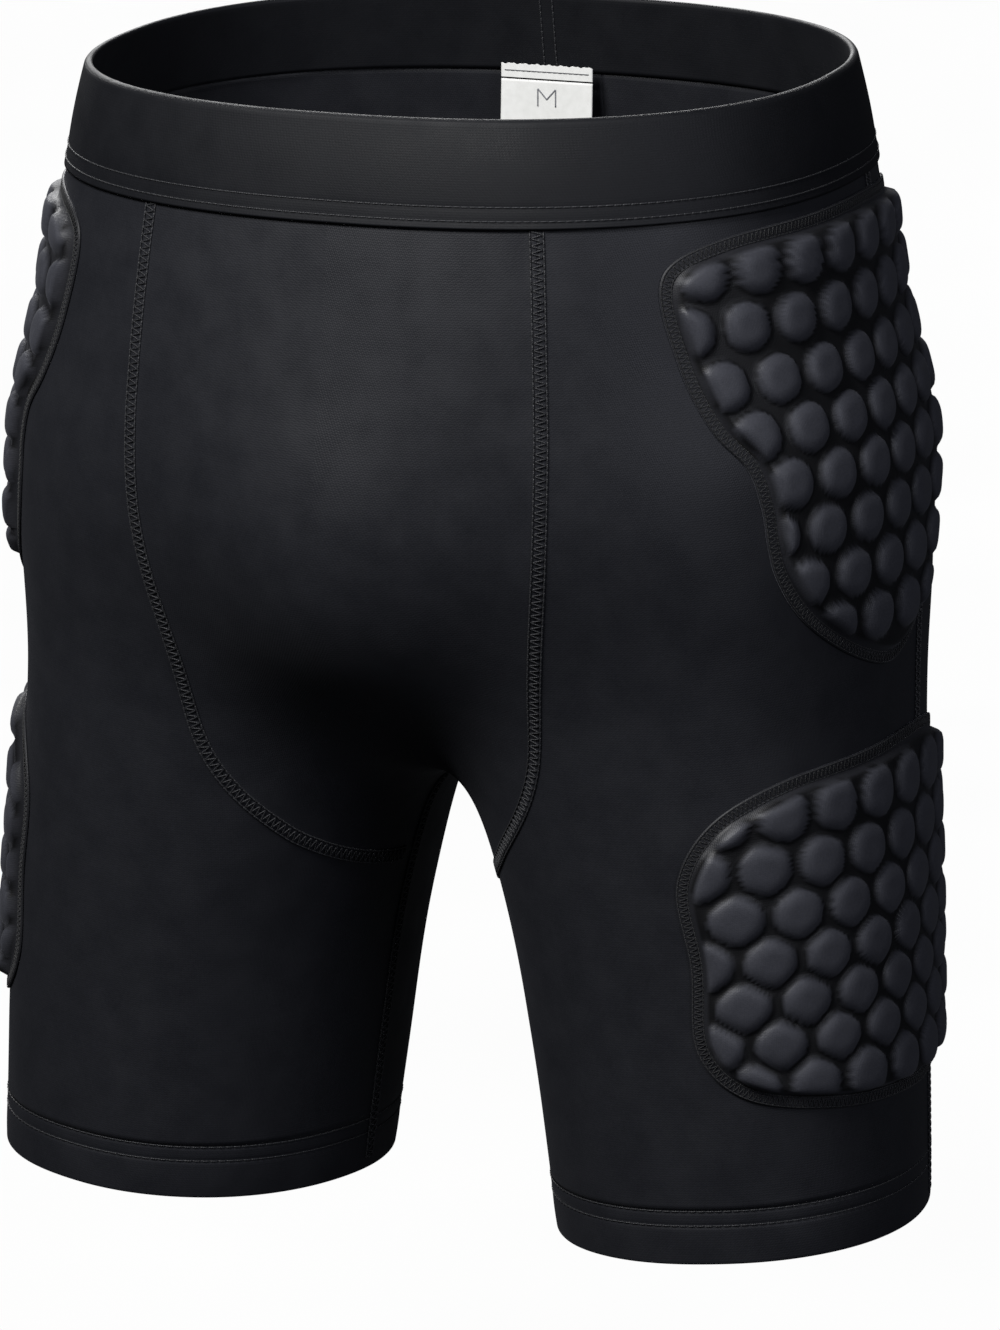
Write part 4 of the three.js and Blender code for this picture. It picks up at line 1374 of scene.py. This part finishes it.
@dataclass
class Hems:
    """Turned leg edges, each held by two rows of needle stitches."""

    depth_top: float = 402.4
    thickness: float = 1.7
    outer_face: float = 0.1
    rows_at: tuple = (402.7, 408.2)
    groove: float = 0.3
    stitch_reach: float = 0.9
    puff: float = 0.16  # fullness between the lower row and the edge
    edge_radius: float = 0.85
    inner_edge: tuple = ((-1, -0.95), (0, -0.9))  # from the top of the hem: depth, and height
    thread_lift: float = 0.12
    segments: int = 200
    cut: tuple = (0.42, 0.023)  # round the leg by the height of the doubled edge

    def _section(self) -> list[tuple[float, float]]:
        """Closed section: the outer face, the rounded edge and the turned ply inside.

        Returns:
            Depth and height of each point.
        """
        end = FORM.length - self.edge_radius
        down = np.linspace(self.depth_top, end, 34)
        rows = sum(np.exp(-((down - row) / self.stitch_reach) ** 2) for row in self.rows_at)
        puff = self.puff * np.sin(math.pi * np.clip((down - self.rows_at[1]) / (end - self.rows_at[1]), 0, 1))
        outer = list(zip(down, self.outer_face - self.groove * rows + puff))
        level = self.outer_face - self.edge_radius
        turn = np.linspace(0, math.pi, 8)[1:-1]
        edge = [(end + self.edge_radius * math.sin(t), level + self.edge_radius * math.cos(t)) for t in turn]
        inner = [(d, self.outer_face - self.thickness) for d in np.linspace(end, self.depth_top - 1, 14)]
        return outer + edge + inner + [(self.depth_top + down, height) for down, height in self.inner_edge]

    def build(self, finish: Finishes) -> None:
        """Makes both hems and their stitching.

        Args:
            finish: The finishes.
        """
        band, threads = Solid(), Solid()
        grid, cloth = swept(self._section(), self.segments, False)
        band.hoop(grid, cloth)
        run = StitchRun(Stitch.SINGLE, pitch=3.2, needle=0.27, bite=0.45)
        for row in self.rows_at:
            line, normal = ring_line(row, self.outer_face - self.groove, 280, False)
            run.lay(threads, line, normal, self.thread_lift, closed=True)
        for side in Side:
            node = f"{side.label}_hem_band"
            obj = band.on(side).piece(node, finish.jersey)
            enter(obj, [node])
            node = f"{side.label}_hem_coverstitch"
            enter(threads.on(side).piece(node, finish.thread), [node])


# ---------------------------------------------------------------- pads


def closed_curve(points: Sequence[tuple[float, float]], count: int) -> Array:
    """Smooth closed line through points, spaced evenly over its length.

    Args:
        points: The points, in order.
        count: How many points to give back.

    Returns:
        The line's points.
    """
    p = np.array(points, float)
    before, after, beyond = np.roll(p, 1, 0), np.roll(p, -1, 0), np.roll(p, -2, 0)
    gap = [np.sqrt(np.linalg.norm(b - a, axis=-1, keepdims=True))
           for a, b in ((before, p), (p, after), (after, beyond))]
    leave = (p - before) / gap[0] - (after - before) / (gap[0] + gap[1]) + (after - p) / gap[1]
    arrive = (after - p) / gap[1] - (beyond - p) / (gap[1] + gap[2]) + (beyond - after) / gap[2]
    t = np.linspace(0, 1, 40, endpoint=False)[None, :, None]
    a, b = p[:, None], after[:, None]
    m0, m1 = (leave * gap[1])[:, None], (arrive * gap[1])[:, None]
    dense = ((2 * t**3 - 3 * t**2 + 1) * a + (t**3 - 2 * t**2 + t) * m0
             + (3 * t**2 - 2 * t**3) * b + (t**3 - t**2) * m1).reshape(-1, 2)
    looped = np.concatenate([dense, dense[:1]])
    along = lengths_along(looped)
    wanted = np.linspace(0, along[-1], count, endpoint=False)
    return np.stack([np.interp(wanted, along, looped[:, k]) for k in range(2)], -1)


class WorkingPlane(Protocol):
    """A flat plane in which a pad is laid out before it is laid on the form."""

    def flat(self, across: Array, depth: Array) -> Array:
        """Places in the plane, from how far across and how deep they are."""

    def place(self, flat: Array) -> Array:
        """Points of the form at places in the plane."""


@dataclass
class SideField:
    """Flat working plane of a side pad: mm round the body from the side line, and mm of depth."""

    reach: tuple = (-115, 100)
    depths: tuple = (30, 385)
    angle_step: float = 2.5
    depth_step: float = 5.0

    def __post_init__(self) -> None:
        """Measures the form round its side, once."""
        self.angles = np.radians(np.arange(self.reach[0], self.reach[1] + 1, self.angle_step))
        self.levels = np.arange(self.depths[0], self.depths[1] + 1, self.depth_step)
        table = FORM.on_slice(self.levels[:, None] / FORM.length, self.angles[None])
        across = lengths_along(table, 1)
        zero = np.array([np.interp(0, self.angles, row) for row in across])
        self.across = across - zero[:, None]
        self.table = table

    def _between(self, depth: Array) -> tuple[Array, Array]:
        """Measured level above each depth, and how far on from it the depth is.

        Args:
            depth: Depths below the waist opening, in mm.

        Returns:
            The levels' numbers, and the shares of a step.
        """
        rows = (depth - self.levels[0]) / self.depth_step
        low = np.clip(rows.astype(int), 0, len(self.levels) - 2)
        return low, rows - low

    def flat(self, across: Array, depth: Array) -> Array:
        """Places in the plane of angles and depths.

        Args:
            across: Degrees round the body from the side line.
            depth: Depths below the waist opening, in mm.

        Returns:
            The places.
        """
        low, share = self._between(depth)
        angle = np.radians(across)
        s = np.array([(1 - f) * np.interp(a, self.angles, self.across[k])
                      + f * np.interp(a, self.angles, self.across[k + 1])
                      for a, k, f in zip(angle, low, share)])
        return np.stack([s, depth], -1)

    def place(self, flat: Array) -> Array:
        """Points of the form at places in the plane.

        Args:
            flat: The places.

        Returns:
            The points.
        """
        s, depth = flat[..., 0].ravel(), flat[..., 1].ravel()
        low, share = self._between(depth)
        share = share[:, None]
        guess = np.zeros((len(s), 3))
        for k in np.unique(low):
            mine = low == k
            ends = [np.stack([np.interp(s[mine], self.across[row], self.table[row, :, axis])
                              for axis in range(3)], -1) for row in (k, k + 1)]
            guess[mine] = ends[0] * (1 - share[mine]) + ends[1] * share[mine]
        return FORM.settle(guess, 3).reshape(*flat.shape[:-1], 3)


class BackField:
    """Flat working plane of the tailbone pad: mm across the back, and mm of depth."""

    def flat(self, across: Array, depth: Array) -> Array:
        """Places in the plane of places across and depths."""
        return np.stack([across, depth], -1)

    def place(self, flat: Array) -> Array:
        """Points of the form straight behind places in the plane."""
        origin = np.stack([flat[..., 0], np.zeros_like(flat[..., 0]), -flat[..., 1]], -1)
        return FORM.shoot(origin, np.array([0.0, 1.0, 0.0]))


@dataclass
class ImpactPad:
    """Domed foam under a moulded cover, sewn down round a flat flange."""

    name: str
    field: WorkingPlane
    centre: tuple
    outline: tuple
    crown: float  # top of the domes above the form
    valley: float  # floor of the channels between domes
    pitch: float  # dome to dome along a row
    rows: tuple  # depth of each row of domes, and where one of its domes stands along it
    flange: float = 4.8
    flange_top: float = 0.85
    cover: float = 0.8
    bevel: float = 2.0
    channel: float = 0.8  # half the width of a channel's floor
    dome_edge: float = 5.4  # distance over which a dome rises to its crown
    dome_radius: float = 9.7
    cut_domes: float = 4.5  # a dome is left out if its centre lies further outside the bevel
    domes_each_way: int = 8  # tried along a row, before those outside are left out
    neighbours: int = 6  # domes that can bound another one
    rim_gap: float = 0.4  # from the bevel to the first dome's foot
    softness: float = 1.1  # of the corners where channels meet
    flatness: float = 0.55  # 1 is a round dome, and less is flatter on top
    foam_share: float = 0.7  # of the height under the cover; the rest is its moulding
    foam_least: float = 0.8
    foam_gap: float = 0.2  # between the foam and the form
    foam_inset: float = 1.0  # from the flange
    shade_gain: float = 1.8  # how soon the dome's own colour is reached above the channel's painted shade
    shade_margin: float = 0.5  # below the channels, a place belongs to the flange
    # share of the cloth's own colour on the flange; the rest is painted shade
    flange_shade: float = 0.25
    stitch_inset: float = 0.5
    stitches: StitchRun = StitchRun(Stitch.FLATLOCK, width=3.7, pitch=1.9, needle=0.2, cover=0.17, bite=0.2)
    rings: int = 66
    sectors: int = 264
    foam_rings: int = 30
    foam_sectors: int = 120
    fill: float = 0.85

    def _outline(self, count: int) -> Array:
        """The cover's edge in the working plane."""
        curve = closed_curve(self.outline, count)
        return self.field.flat(curve[:, 0], curve[:, 1])

    def _hub(self) -> Array:
        """The outline's centre in the working plane."""
        return self.field.flat(np.array([float(self.centre[0])]), np.array([float(self.centre[1])]))[0]

    def _domes(self) -> Array:
        """Centres of the domes in the working plane, in staggered rows."""
        along = range(-self.domes_each_way, self.domes_each_way + 1)
        return np.array([(phase + k * self.pitch, depth) for depth, phase in self.rows for k in along], float)

    def _within(self, places: Array) -> Array:
        """Which places lie inside the outline.

        Args:
            places: Places in the working plane.

        Returns:
            True for each place inside.
        """
        ring = self._outline(240)
        after = np.roll(ring, -1, 0)
        x, y = places[:, None, 0], places[:, None, 1]
        spans = (ring[None, :, 1] > y) != (after[None, :, 1] > y)
        rise = after[:, 1] - ring[:, 1]
        rise = np.where(np.abs(rise) < 1e-9, 1e-9, rise)
        crossing = ring[:, 0] + (y - ring[:, 1]) * (after[:, 0] - ring[:, 0]) / rise
        return (spans & (x < crossing)).sum(1) % 2 == 1

    def _heights(self, flat: Array) -> Array:
        """Height of the cover's face above the form.

        Args:
            flat: Places in the working plane.

        Returns:
            Heights in mm: the flange, a bevel, then domes with channels between them.
        """
        shape = flat.shape[:-1]
        p = flat.reshape(-1, 2)
        edge = self._outline(720)
        inset = np.empty(len(p))
        batch = 4000  # keeps the table of distances small
        for i in range(0, len(p), batch):
            inset[i:i + batch] = np.linalg.norm(p[i:i + batch, None] - edge[None], axis=-1).min(1)
        inside = inset - self.flange
        domes = self._domes()
        room = np.linalg.norm(domes[:, None] - edge[None], axis=-1).min(1) - self.flange
        domes = domes[self._within(domes) & (room > -self.cut_domes)]
        offset = p[:, None] - domes[None]
        squared = (offset**2).sum(-1)
        order = np.argsort(squared, 1)[:, :self.neighbours + 1]
        nearest = domes[order[:, 0]]
        walls = [(inside - self.rim_gap)[:, None], (self.dome_radius - np.sqrt(squared.min(1)))[:, None]]
        for k in range(1, self.neighbours + 1):
            other = domes[order[:, k]]
            span = np.linalg.norm(other - nearest, axis=-1)
            wall = (((p - other) ** 2).sum(-1) - ((p - nearest) ** 2).sum(-1)) / (2 * span)
            walls.append((wall - self.channel)[:, None])
        walls = np.concatenate(walls, 1)
        least = walls.min(1)
        reach = least - self.softness * np.log(np.exp((least[:, None] - walls) / self.softness).sum(1))
        t = np.clip(reach / self.dome_edge, 0, 1)
        dome = (1 - (1 - t) ** 2) ** self.flatness
        rise = np.clip(inside / self.bevel, 0, 1)
        bevel = rise * rise * (3 - 2 * rise)
        height = (self.flange_top + (self.valley - self.flange_top) * bevel
                  + (self.crown - self.valley) * dome)
        return height.reshape(shape)

    def _polar(self, rings: int, sectors: int, outer: float = 1.0) -> Array:
        """Places in the working plane, ring by ring, from the edge to near the centre."""
        keep = (outer * np.linspace(1, 0, rings + 1)[:-1])[:, None, None]
        return self._hub() + (self._outline(sectors)[None] - self._hub()) * keep

    def _shell(self, flat: Array, top: Callable[[Array], Array], under: Callable[[Array], Array]) -> Solid:
        """Closed solid over a polar grid, between two height functions.

        Args:
            flat: Places, ring by ring.
            top: Gives the upper heights at places.
            under: Gives the lower heights from the upper ones.

        Returns:
            The solid.
        """
        whole = np.concatenate([flat, np.broadcast_to(self._hub(), flat[:1].shape)])
        p = self.field.place(whole)
        normal = unit(FORM.gradient(p))
        lift = FORM.undulation(p)
        heights = top(whole)
        outer = p + normal * (heights + lift)[..., None]
        inner = p + normal * (under(heights) + lift)[..., None]
        cloth = np.concatenate([whole, whole[:, :1]], 1)[:-1]
        solid = Solid()
        solid.sheet(outer[:-1], inner[:-1], cloth, wrap=True, middle=(outer[-1, 0], inner[-1, 0]))
        # Painted shade: the cloth's own colour on the domes, the dark colour in the channels, and mostly dark
        # on the flange.
        share = np.clip((heights - self.valley) / (self.crown - self.valley) * self.shade_gain, 0, 1)
        share = np.where(heights < self.valley - self.shade_margin, self.flange_shade, share)
        rim = share[:-1].ravel()
        solid.raised = np.concatenate([rim, rim, np.repeat(share[-1, 0], 2)])
        return solid

    def _stitching(self) -> Solid:
        """Flatlock ring that holds the flange down.

        Returns:
            The threads.
        """
        edge = self._outline(360)
        tangent = unit(np.roll(edge, -1, 0) - np.roll(edge, 1, 0))
        inward = np.stack([-tangent[:, 1], tangent[:, 0]], -1)
        if ((self._hub() - edge) * inward).sum() < 0:
            inward = -inward
        p = self.field.place(edge + inward * (self.stitch_inset + self.stitches.width / 2))
        normal = unit(FORM.gradient(p))
        solid = Solid()
        line = p + normal * FORM.undulation(p)[:, None]
        self.stitches.lay(solid, line, normal, self.flange_top, closed=True)
        return solid

    def turned(self, degrees: float) -> "ImpactPad":
        """The same pad further round the leg.

        Args:
            degrees: How far round.

        Returns:
            The turned pad.
        """
        outline = tuple((across + degrees, depth) for across, depth in self.outline)
        centre = (self.centre[0] + degrees, self.centre[1])
        level = np.array([float(self.centre[1])])
        before, after = (self.field.flat(np.array([float(c)]), level)[0, 0]
                         for c in (self.centre[0], centre[0]))
        rows = tuple((depth, phase + after - before) for depth, phase in self.rows)
        return replace(self, outline=outline, centre=centre, rows=rows)

    def build(self, finish: Finishes, sides: Sequence[Optional[Side]]) -> None:
        """Makes the pad.

        Args:
            finish: The finishes.
            sides: Left and right, or one None for a pad in the middle.
        """
        def foam_top(flat: Array) -> Array:
            """Height of the foam, which follows the cover above it."""
            return np.maximum(self.foam_share * (self._heights(flat) - self.cover), self.foam_least)

        cover = self._shell(self._polar(self.rings, self.sectors), self._heights,
                            lambda top: top - self.cover)
        radius = np.linalg.norm(self._outline(60) - self._hub(), axis=1).mean()
        foam_edge = 1 - (self.flange + self.foam_inset) / radius
        foam = self._shell(self._polar(self.foam_rings, self.foam_sectors, foam_edge), foam_top,
                           lambda top: np.full_like(top, self.foam_gap))
        threads = self._stitching()
        for side in sides:
            prefix = f"{side.label}_" if side else ""
            for part, solid, look, slot in (("foam", foam, finish.foam, "foam"),
                                            ("cover", cover, finish.pad_cloth, "pad_fabric"),
                                            ("stitching", threads, finish.overlock, "thread")):
                node = f"{prefix}{self.name}_{part}"
                obj = (solid.on(side) if side else solid).piece(node, look)
                enter(obj, [node])


def impact_pads() -> list[tuple[ImpactPad, Sequence[Optional[Side]]]]:
    """The hip, thigh and tailbone pads. Outlines are degrees round the body and mm of depth.

    Returns:
        Each pad, with the sides that it is made for.
    """
    sides = SideField()
    both = (Side.LEFT, Side.RIGHT)
    hip = ImpactPad(
        name="hip_pad", field=sides, centre=(-5, 112),
        outline=((-44, 54), (-33, 45.5), (-12, 43), (14, 44), (32, 50), (37, 68), (36, 100),
                 (31, 138), (22, 172), (11, 199), (-5, 211), (-22, 205), (-38, 188), (-45, 165),
                 (-43.5, 142), (-43.5, 127), (-47, 114), (-48.3, 88)),
        crown=6.6, valley=3.7, pitch=21.7,
        rows=((57, 2.6), (77, -5), (97.5, 3.8), (116.2, -10.4), (134.1, -0.8), (152.5, -8),
              (171, 4.5), (189, -3)),
    )
    thigh = ImpactPad(
        name="thigh_pad", field=sides, centre=(-12, 308),
        outline=((-77, 277), (-67, 255), (-50, 244), (-18, 240), (22, 240), (44, 250), (52, 285),
                 (52, 330), (42, 362), (14, 371), (-14, 371), (-42, 368), (-65, 360), (-75, 344),
                 (-75.5, 310)),
        crown=6.1, valley=3.6, pitch=22.3,
        rows=((256, -24), (275, -9.5), (292.8, -20.5), (309.5, -9.7), (325.5, -19.5),
              (340.5, -7.5), (356, -17.5)), dome_radius=10.5,
    )
    tail = ImpactPad(
        name="tailbone_pad", field=BackField(), centre=(0, 118),
        outline=((-46, 70), (0, 62), (46, 70), (54, 92), (44, 130), (22, 170), (0, 180),
                 (-22, 170), (-44, 130), (-54, 92)),
        crown=6.4, valley=3.9, pitch=20.6,
        rows=((80, 0), (98.8, 10.3), (117.6, 0), (136.4, 10.3), (155.2, 0)), rings=48, sectors=200,
    )
    return [(hip, both), (thigh, (Side.LEFT,)), (thigh.turned(RIGHT_LEG_TURN), (Side.RIGHT,)),
            (tail, (None,))]


# ---------------------------------------------------------------- size label


@dataclass
class SizeLabel:
    """Woven label sewn in inside the back of the waist, with the size letter."""

    width: float = 38.0
    flap: float = 40.0
    thickness: float = 0.45
    letter_height: float = 6.6
    letter_width: float = 7.4
    letter_below_hinge: float = 6.5
    curl: float = 1.6
    wave: float = 7.0  # run of the soft waves down the flap
    wave_share: float = 0.25  # of the curl
    face_gap: float = 0.1
    hinge_gap: float = 0.3  # how far the sewn edge comes below its own lower level
    rag: float = 0.35  # unevenness of the cut edge
    row_up: float = 2.4  # of the stitches, above the sewn edge's lower level
    row_ends: float = 1.5  # left free at each side
    stroke: float = 0.3  # half the thickness of a letter's stroke
    stroke_lift: float = 0.05
    stroke_wave: float = 0.04  # of the curl, so that the letter lies on the flap
    letter_dip: float = 0.2  # how far the letter's middle comes down, of half its height

    def _sheet(self, top: float, bottom: float, y: float, curl: float, rag: float) -> Solid:
        """One stretch of label cloth between two levels.

        Args:
            top: Height of the upper edge.
            bottom: Height of the lower edge.
            y: Where its face stands.
            curl: How far the sides come forward.
            rag: Unevenness of the cut upper edge.

        Returns:
            The closed solid.
        """
        x = np.linspace(-self.width / 2, self.width / 2, 60)
        z = np.linspace(top, bottom, 44)
        xs, zs = np.meshgrid(x, z)
        hang = np.clip((top - zs) / max(top - bottom, 1), 0, 1)
        bow = curl * hang * ((xs / self.width * 2) ** 2 - self.wave_share * np.sin(zs / self.wave))
        zs = zs + rag * np.sin(xs * 1.9) * np.sin(xs * 0.7 + 1) * (1 - hang)
        ys = y - bow
        face = np.stack([xs, ys, zs], -1)
        back = face + np.array([0, self.thickness, 0])
        solid = Solid()
        shift = np.array([BACK_JOIN_X, 0, 0])
        solid.sheet(face + shift, back + shift, np.stack([xs, zs], -1))
        return solid

    def build(self, finish: Finishes) -> None:
        """Makes the sewn edge, the hanging flap, the stitching and the letter.

        Args:
            finish: The finishes.
        """
        low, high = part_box("size_label_anchor")
        flap_low, flap_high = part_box("size_label")
        face = low[1] / MM + self.face_gap
        sewn = self._sheet(high[2] / MM, low[2] / MM - self.hinge_gap, face, 0.0, self.rag)
        anchor = sewn.piece("size_label_anchor", finish.satin)
        enter(anchor, ["size_label_anchor"])
        top = flap_high[2] / MM
        flap = self._sheet(top, flap_low[2] / MM, face, self.curl, 0.0)
        label = flap.piece("size_label", finish.satin)
        enter(label, ["size_label"], FLAP)
        letter = self._letter(top - self.letter_below_hinge, face, finish)
        line = Solid()
        reach = self.width / 2 - self.row_ends
        x = np.linspace(-reach, reach, 40)
        level = low[2] / MM + self.row_up
        row = np.stack([x + BACK_JOIN_X, np.full_like(x, face), np.full_like(x, level)], -1)
        normal = np.broadcast_to(np.array([0.0, -1.0, 0.0]), row.shape)
        StitchRun(Stitch.SINGLE, pitch=2.2, needle=0.2, bite=0.25).lay(line, row, normal, 0.02)
        enter(line.piece("size_label_stitching", finish.label_thread), ["size_label_stitching"])

    def _letter(self, middle: float, face: float, finish: Finishes) -> bpy.types.Object:
        """The size letter, satin-stitched on the flap's face.

        Args:
            middle: Height of its middle.
            face: Where the flap's face stands.
            finish: The finishes.

        Returns:
            The letter's object.
        """
        half, tall = self.letter_width / 2, self.letter_height / 2
        corners = [(-half, -tall), (-half, tall), (0, -tall * self.letter_dip), (half, tall), (half, -tall)]
        solid = Solid()
        for (x0, z0), (x1, z1) in zip(corners, corners[1:]):
            t = np.linspace(0, 1, 14)[:, None]
            start, end = (np.array([[x, face - self.stroke_lift, middle + z]])
                          for x, z in ((x0, z0), (x1, z1)))
            path = start * (1 - t) + end * t
            path[:, 1] += self.curl * self.stroke_wave * np.sin(path[:, 2] / self.wave)
            path[:, 0] += BACK_JOIN_X
            normal = np.broadcast_to(np.array([0.0, -1.0, 0.0]), path.shape)
            solid.strand(path, normal, self.stroke)
        letter = solid.piece("size_letter", finish.size_thread)
        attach(letter, FLAP)
        log.info("size_letter on %s", FLAP)
        return letter


# ---------------------------------------------------------------- studio


@dataclass
class Studio:
    """Plain pale room, soft lights and the camera."""

    azimuth: float = math.radians(25)
    elevation: float = math.radians(12.5)
    distance: float = 2750
    look_at: tuple = (0, 0, -210)
    shift_right: float = 11
    shift_up: float = -18
    lens: float = 201
    floor_depth: float = 0.95
    room_radius: float = 9.0

    def _camera(self) -> None:
        """Sets the camera at the viewing angle of the picture."""
        sa, ca = math.sin(self.azimuth), math.cos(self.azimuth)
        se, ce = math.sin(self.elevation), math.cos(self.elevation)
        back = Vector((sa * ce, -ca * ce, se))
        right = Vector((ca, sa, 0))
        up = back.cross(right)
        data = bpy.data.cameras.new("studio_camera")
        data.sensor_fit = "AUTO"
        data.sensor_width = 36
        data.lens = self.lens
        data.clip_end = 40
        camera = bpy.data.objects.new("studio_camera", data)
        place = Vector(self.look_at) + right * self.shift_right + up * self.shift_up + back * self.distance
        turn = Matrix((right, up, back)).transposed().to_4x4()
        camera.matrix_world = Matrix.Translation(place * MM) @ turn
        bpy.context.scene.collection.objects.link(camera)
        bpy.context.scene.camera = camera

    def _light(self, name: str, place: tuple, size: tuple, power: float, colour: str = "#ffffff") -> None:
        """Adds a soft rectangular light that faces the shorts.

        Args:
            name: Its name.
            place: Where it stands, in metres.
            size: Its width and height, in metres.
            power: Its power, in watts.
            colour: Its colour.
        """
        data = bpy.data.lights.new(name, "AREA")
        data.shape = "RECTANGLE"
        data.size, data.size_y = size
        data.energy = power
        data.color = linear(colour)[:3]
        light = bpy.data.objects.new(name, data)
        target = Vector(self.look_at) * MM
        light.location = Vector(place)
        light.rotation_euler = (Vector(place) - target).to_track_quat("Z", "Y").to_euler()
        bpy.context.scene.collection.objects.link(light)

    def _room(self) -> None:
        """Floor that curves up into a pale backdrop all round."""
        turn = np.linspace(0, math.pi / 2, 16)
        reach = self.room_radius
        profile = [(reach * 0.02, 0.0), (reach * 0.4, 0.0)]
        profile += [(reach * (0.4 + 0.6 * math.sin(t)), reach * (1 - math.cos(t))) for t in turn[1:]]
        profile += [(reach * math.cos(t), reach * (1 + math.sin(t))) for t in turn[1:-1]]
        angle = np.linspace(0, 2 * math.pi, 65)[:-1]
        mesh = bpy.data.meshes.new("studio_room")
        points = [(r * math.cos(a), r * math.sin(a), z - self.floor_depth) for r, z in profile for a in angle]
        count = len(angle)
        faces = [(i * count + j, i * count + (j + 1) % count, (i + 1) * count + (j + 1) % count,
                  (i + 1) * count + j) for i in range(len(profile) - 1) for j in range(count)]
        faces.append(tuple(range(count))[::-1])
        mesh.from_pydata(points, [], faces)
        material, tree = blank("pale_painted_room")
        place = add_node(tree, "ShaderNodeTexCoord")
        paint = add_node(tree, "ShaderNodeTexNoise", {"Scale": 3.0}, {"Vector": place.outputs["Object"]})
        tone = add_node(tree, "ShaderNodeMix", {"data_type": "RGBA", 6: linear("#fbfbfb"),
                                                7: linear("#ffffff")}, {0: paint})
        glow = add_node(tree, "ShaderNodeEmission", {"Strength": 1.0}, {"Color": tone.outputs[2]})
        add_node(tree, "ShaderNodeOutputMaterial", links={0: glow})
        mesh.materials.append(material)
        mesh.shade_smooth()
        room = bpy.data.objects.new("studio_room", mesh)
        for ray in ("diffuse", "glossy", "transmission", "shadow", "volume_scatter"):
            setattr(room, f"visible_{ray}", False)
        bpy.context.scene.collection.objects.link(room)

    def build(self) -> None:
        """Sets the room, the lights and the camera."""
        scene = bpy.context.scene
        scene.view_settings.view_transform = "Standard"
        world = bpy.data.worlds.new("soft_room_light")
        world.use_nodes = True
        ground = world.node_tree.nodes["Background"]
        ground.inputs["Color"].default_value = linear("#dfe3ea")
        ground.inputs["Strength"].default_value = 0.03
        scene.world = world
        self._camera()
        self._room()
        self._light("key_softbox", (-0.35, -1.3, 1.15), (0.8, 0.7), 41)
        self._light("fill_softbox", (1.9, -1.1, 0.7), (0.9, 1.3), 12, "#eef1ff")
        self._light("rear_softbox", (-1.4, 1.9, 1.2), (1.4, 1.0), 55)


# ---------------------------------------------------------------- all together


def main() -> None:
    """Builds the whole scene."""
    logging.basicConfig(level=logging.INFO, format="%(name)s: %(message)s")
    finish = Finishes()
    Studio().build()
    lines = SeamLines()
    Panels(lines).build(finish)
    FlatlockSeams(lines).build(finish)
    Waistband().build(finish)
    Hems().build(finish)
    for pad, sides in impact_pads():
        pad.build(finish, sides)
    SizeLabel().build(finish)


if __name__ == "__main__":
    main()
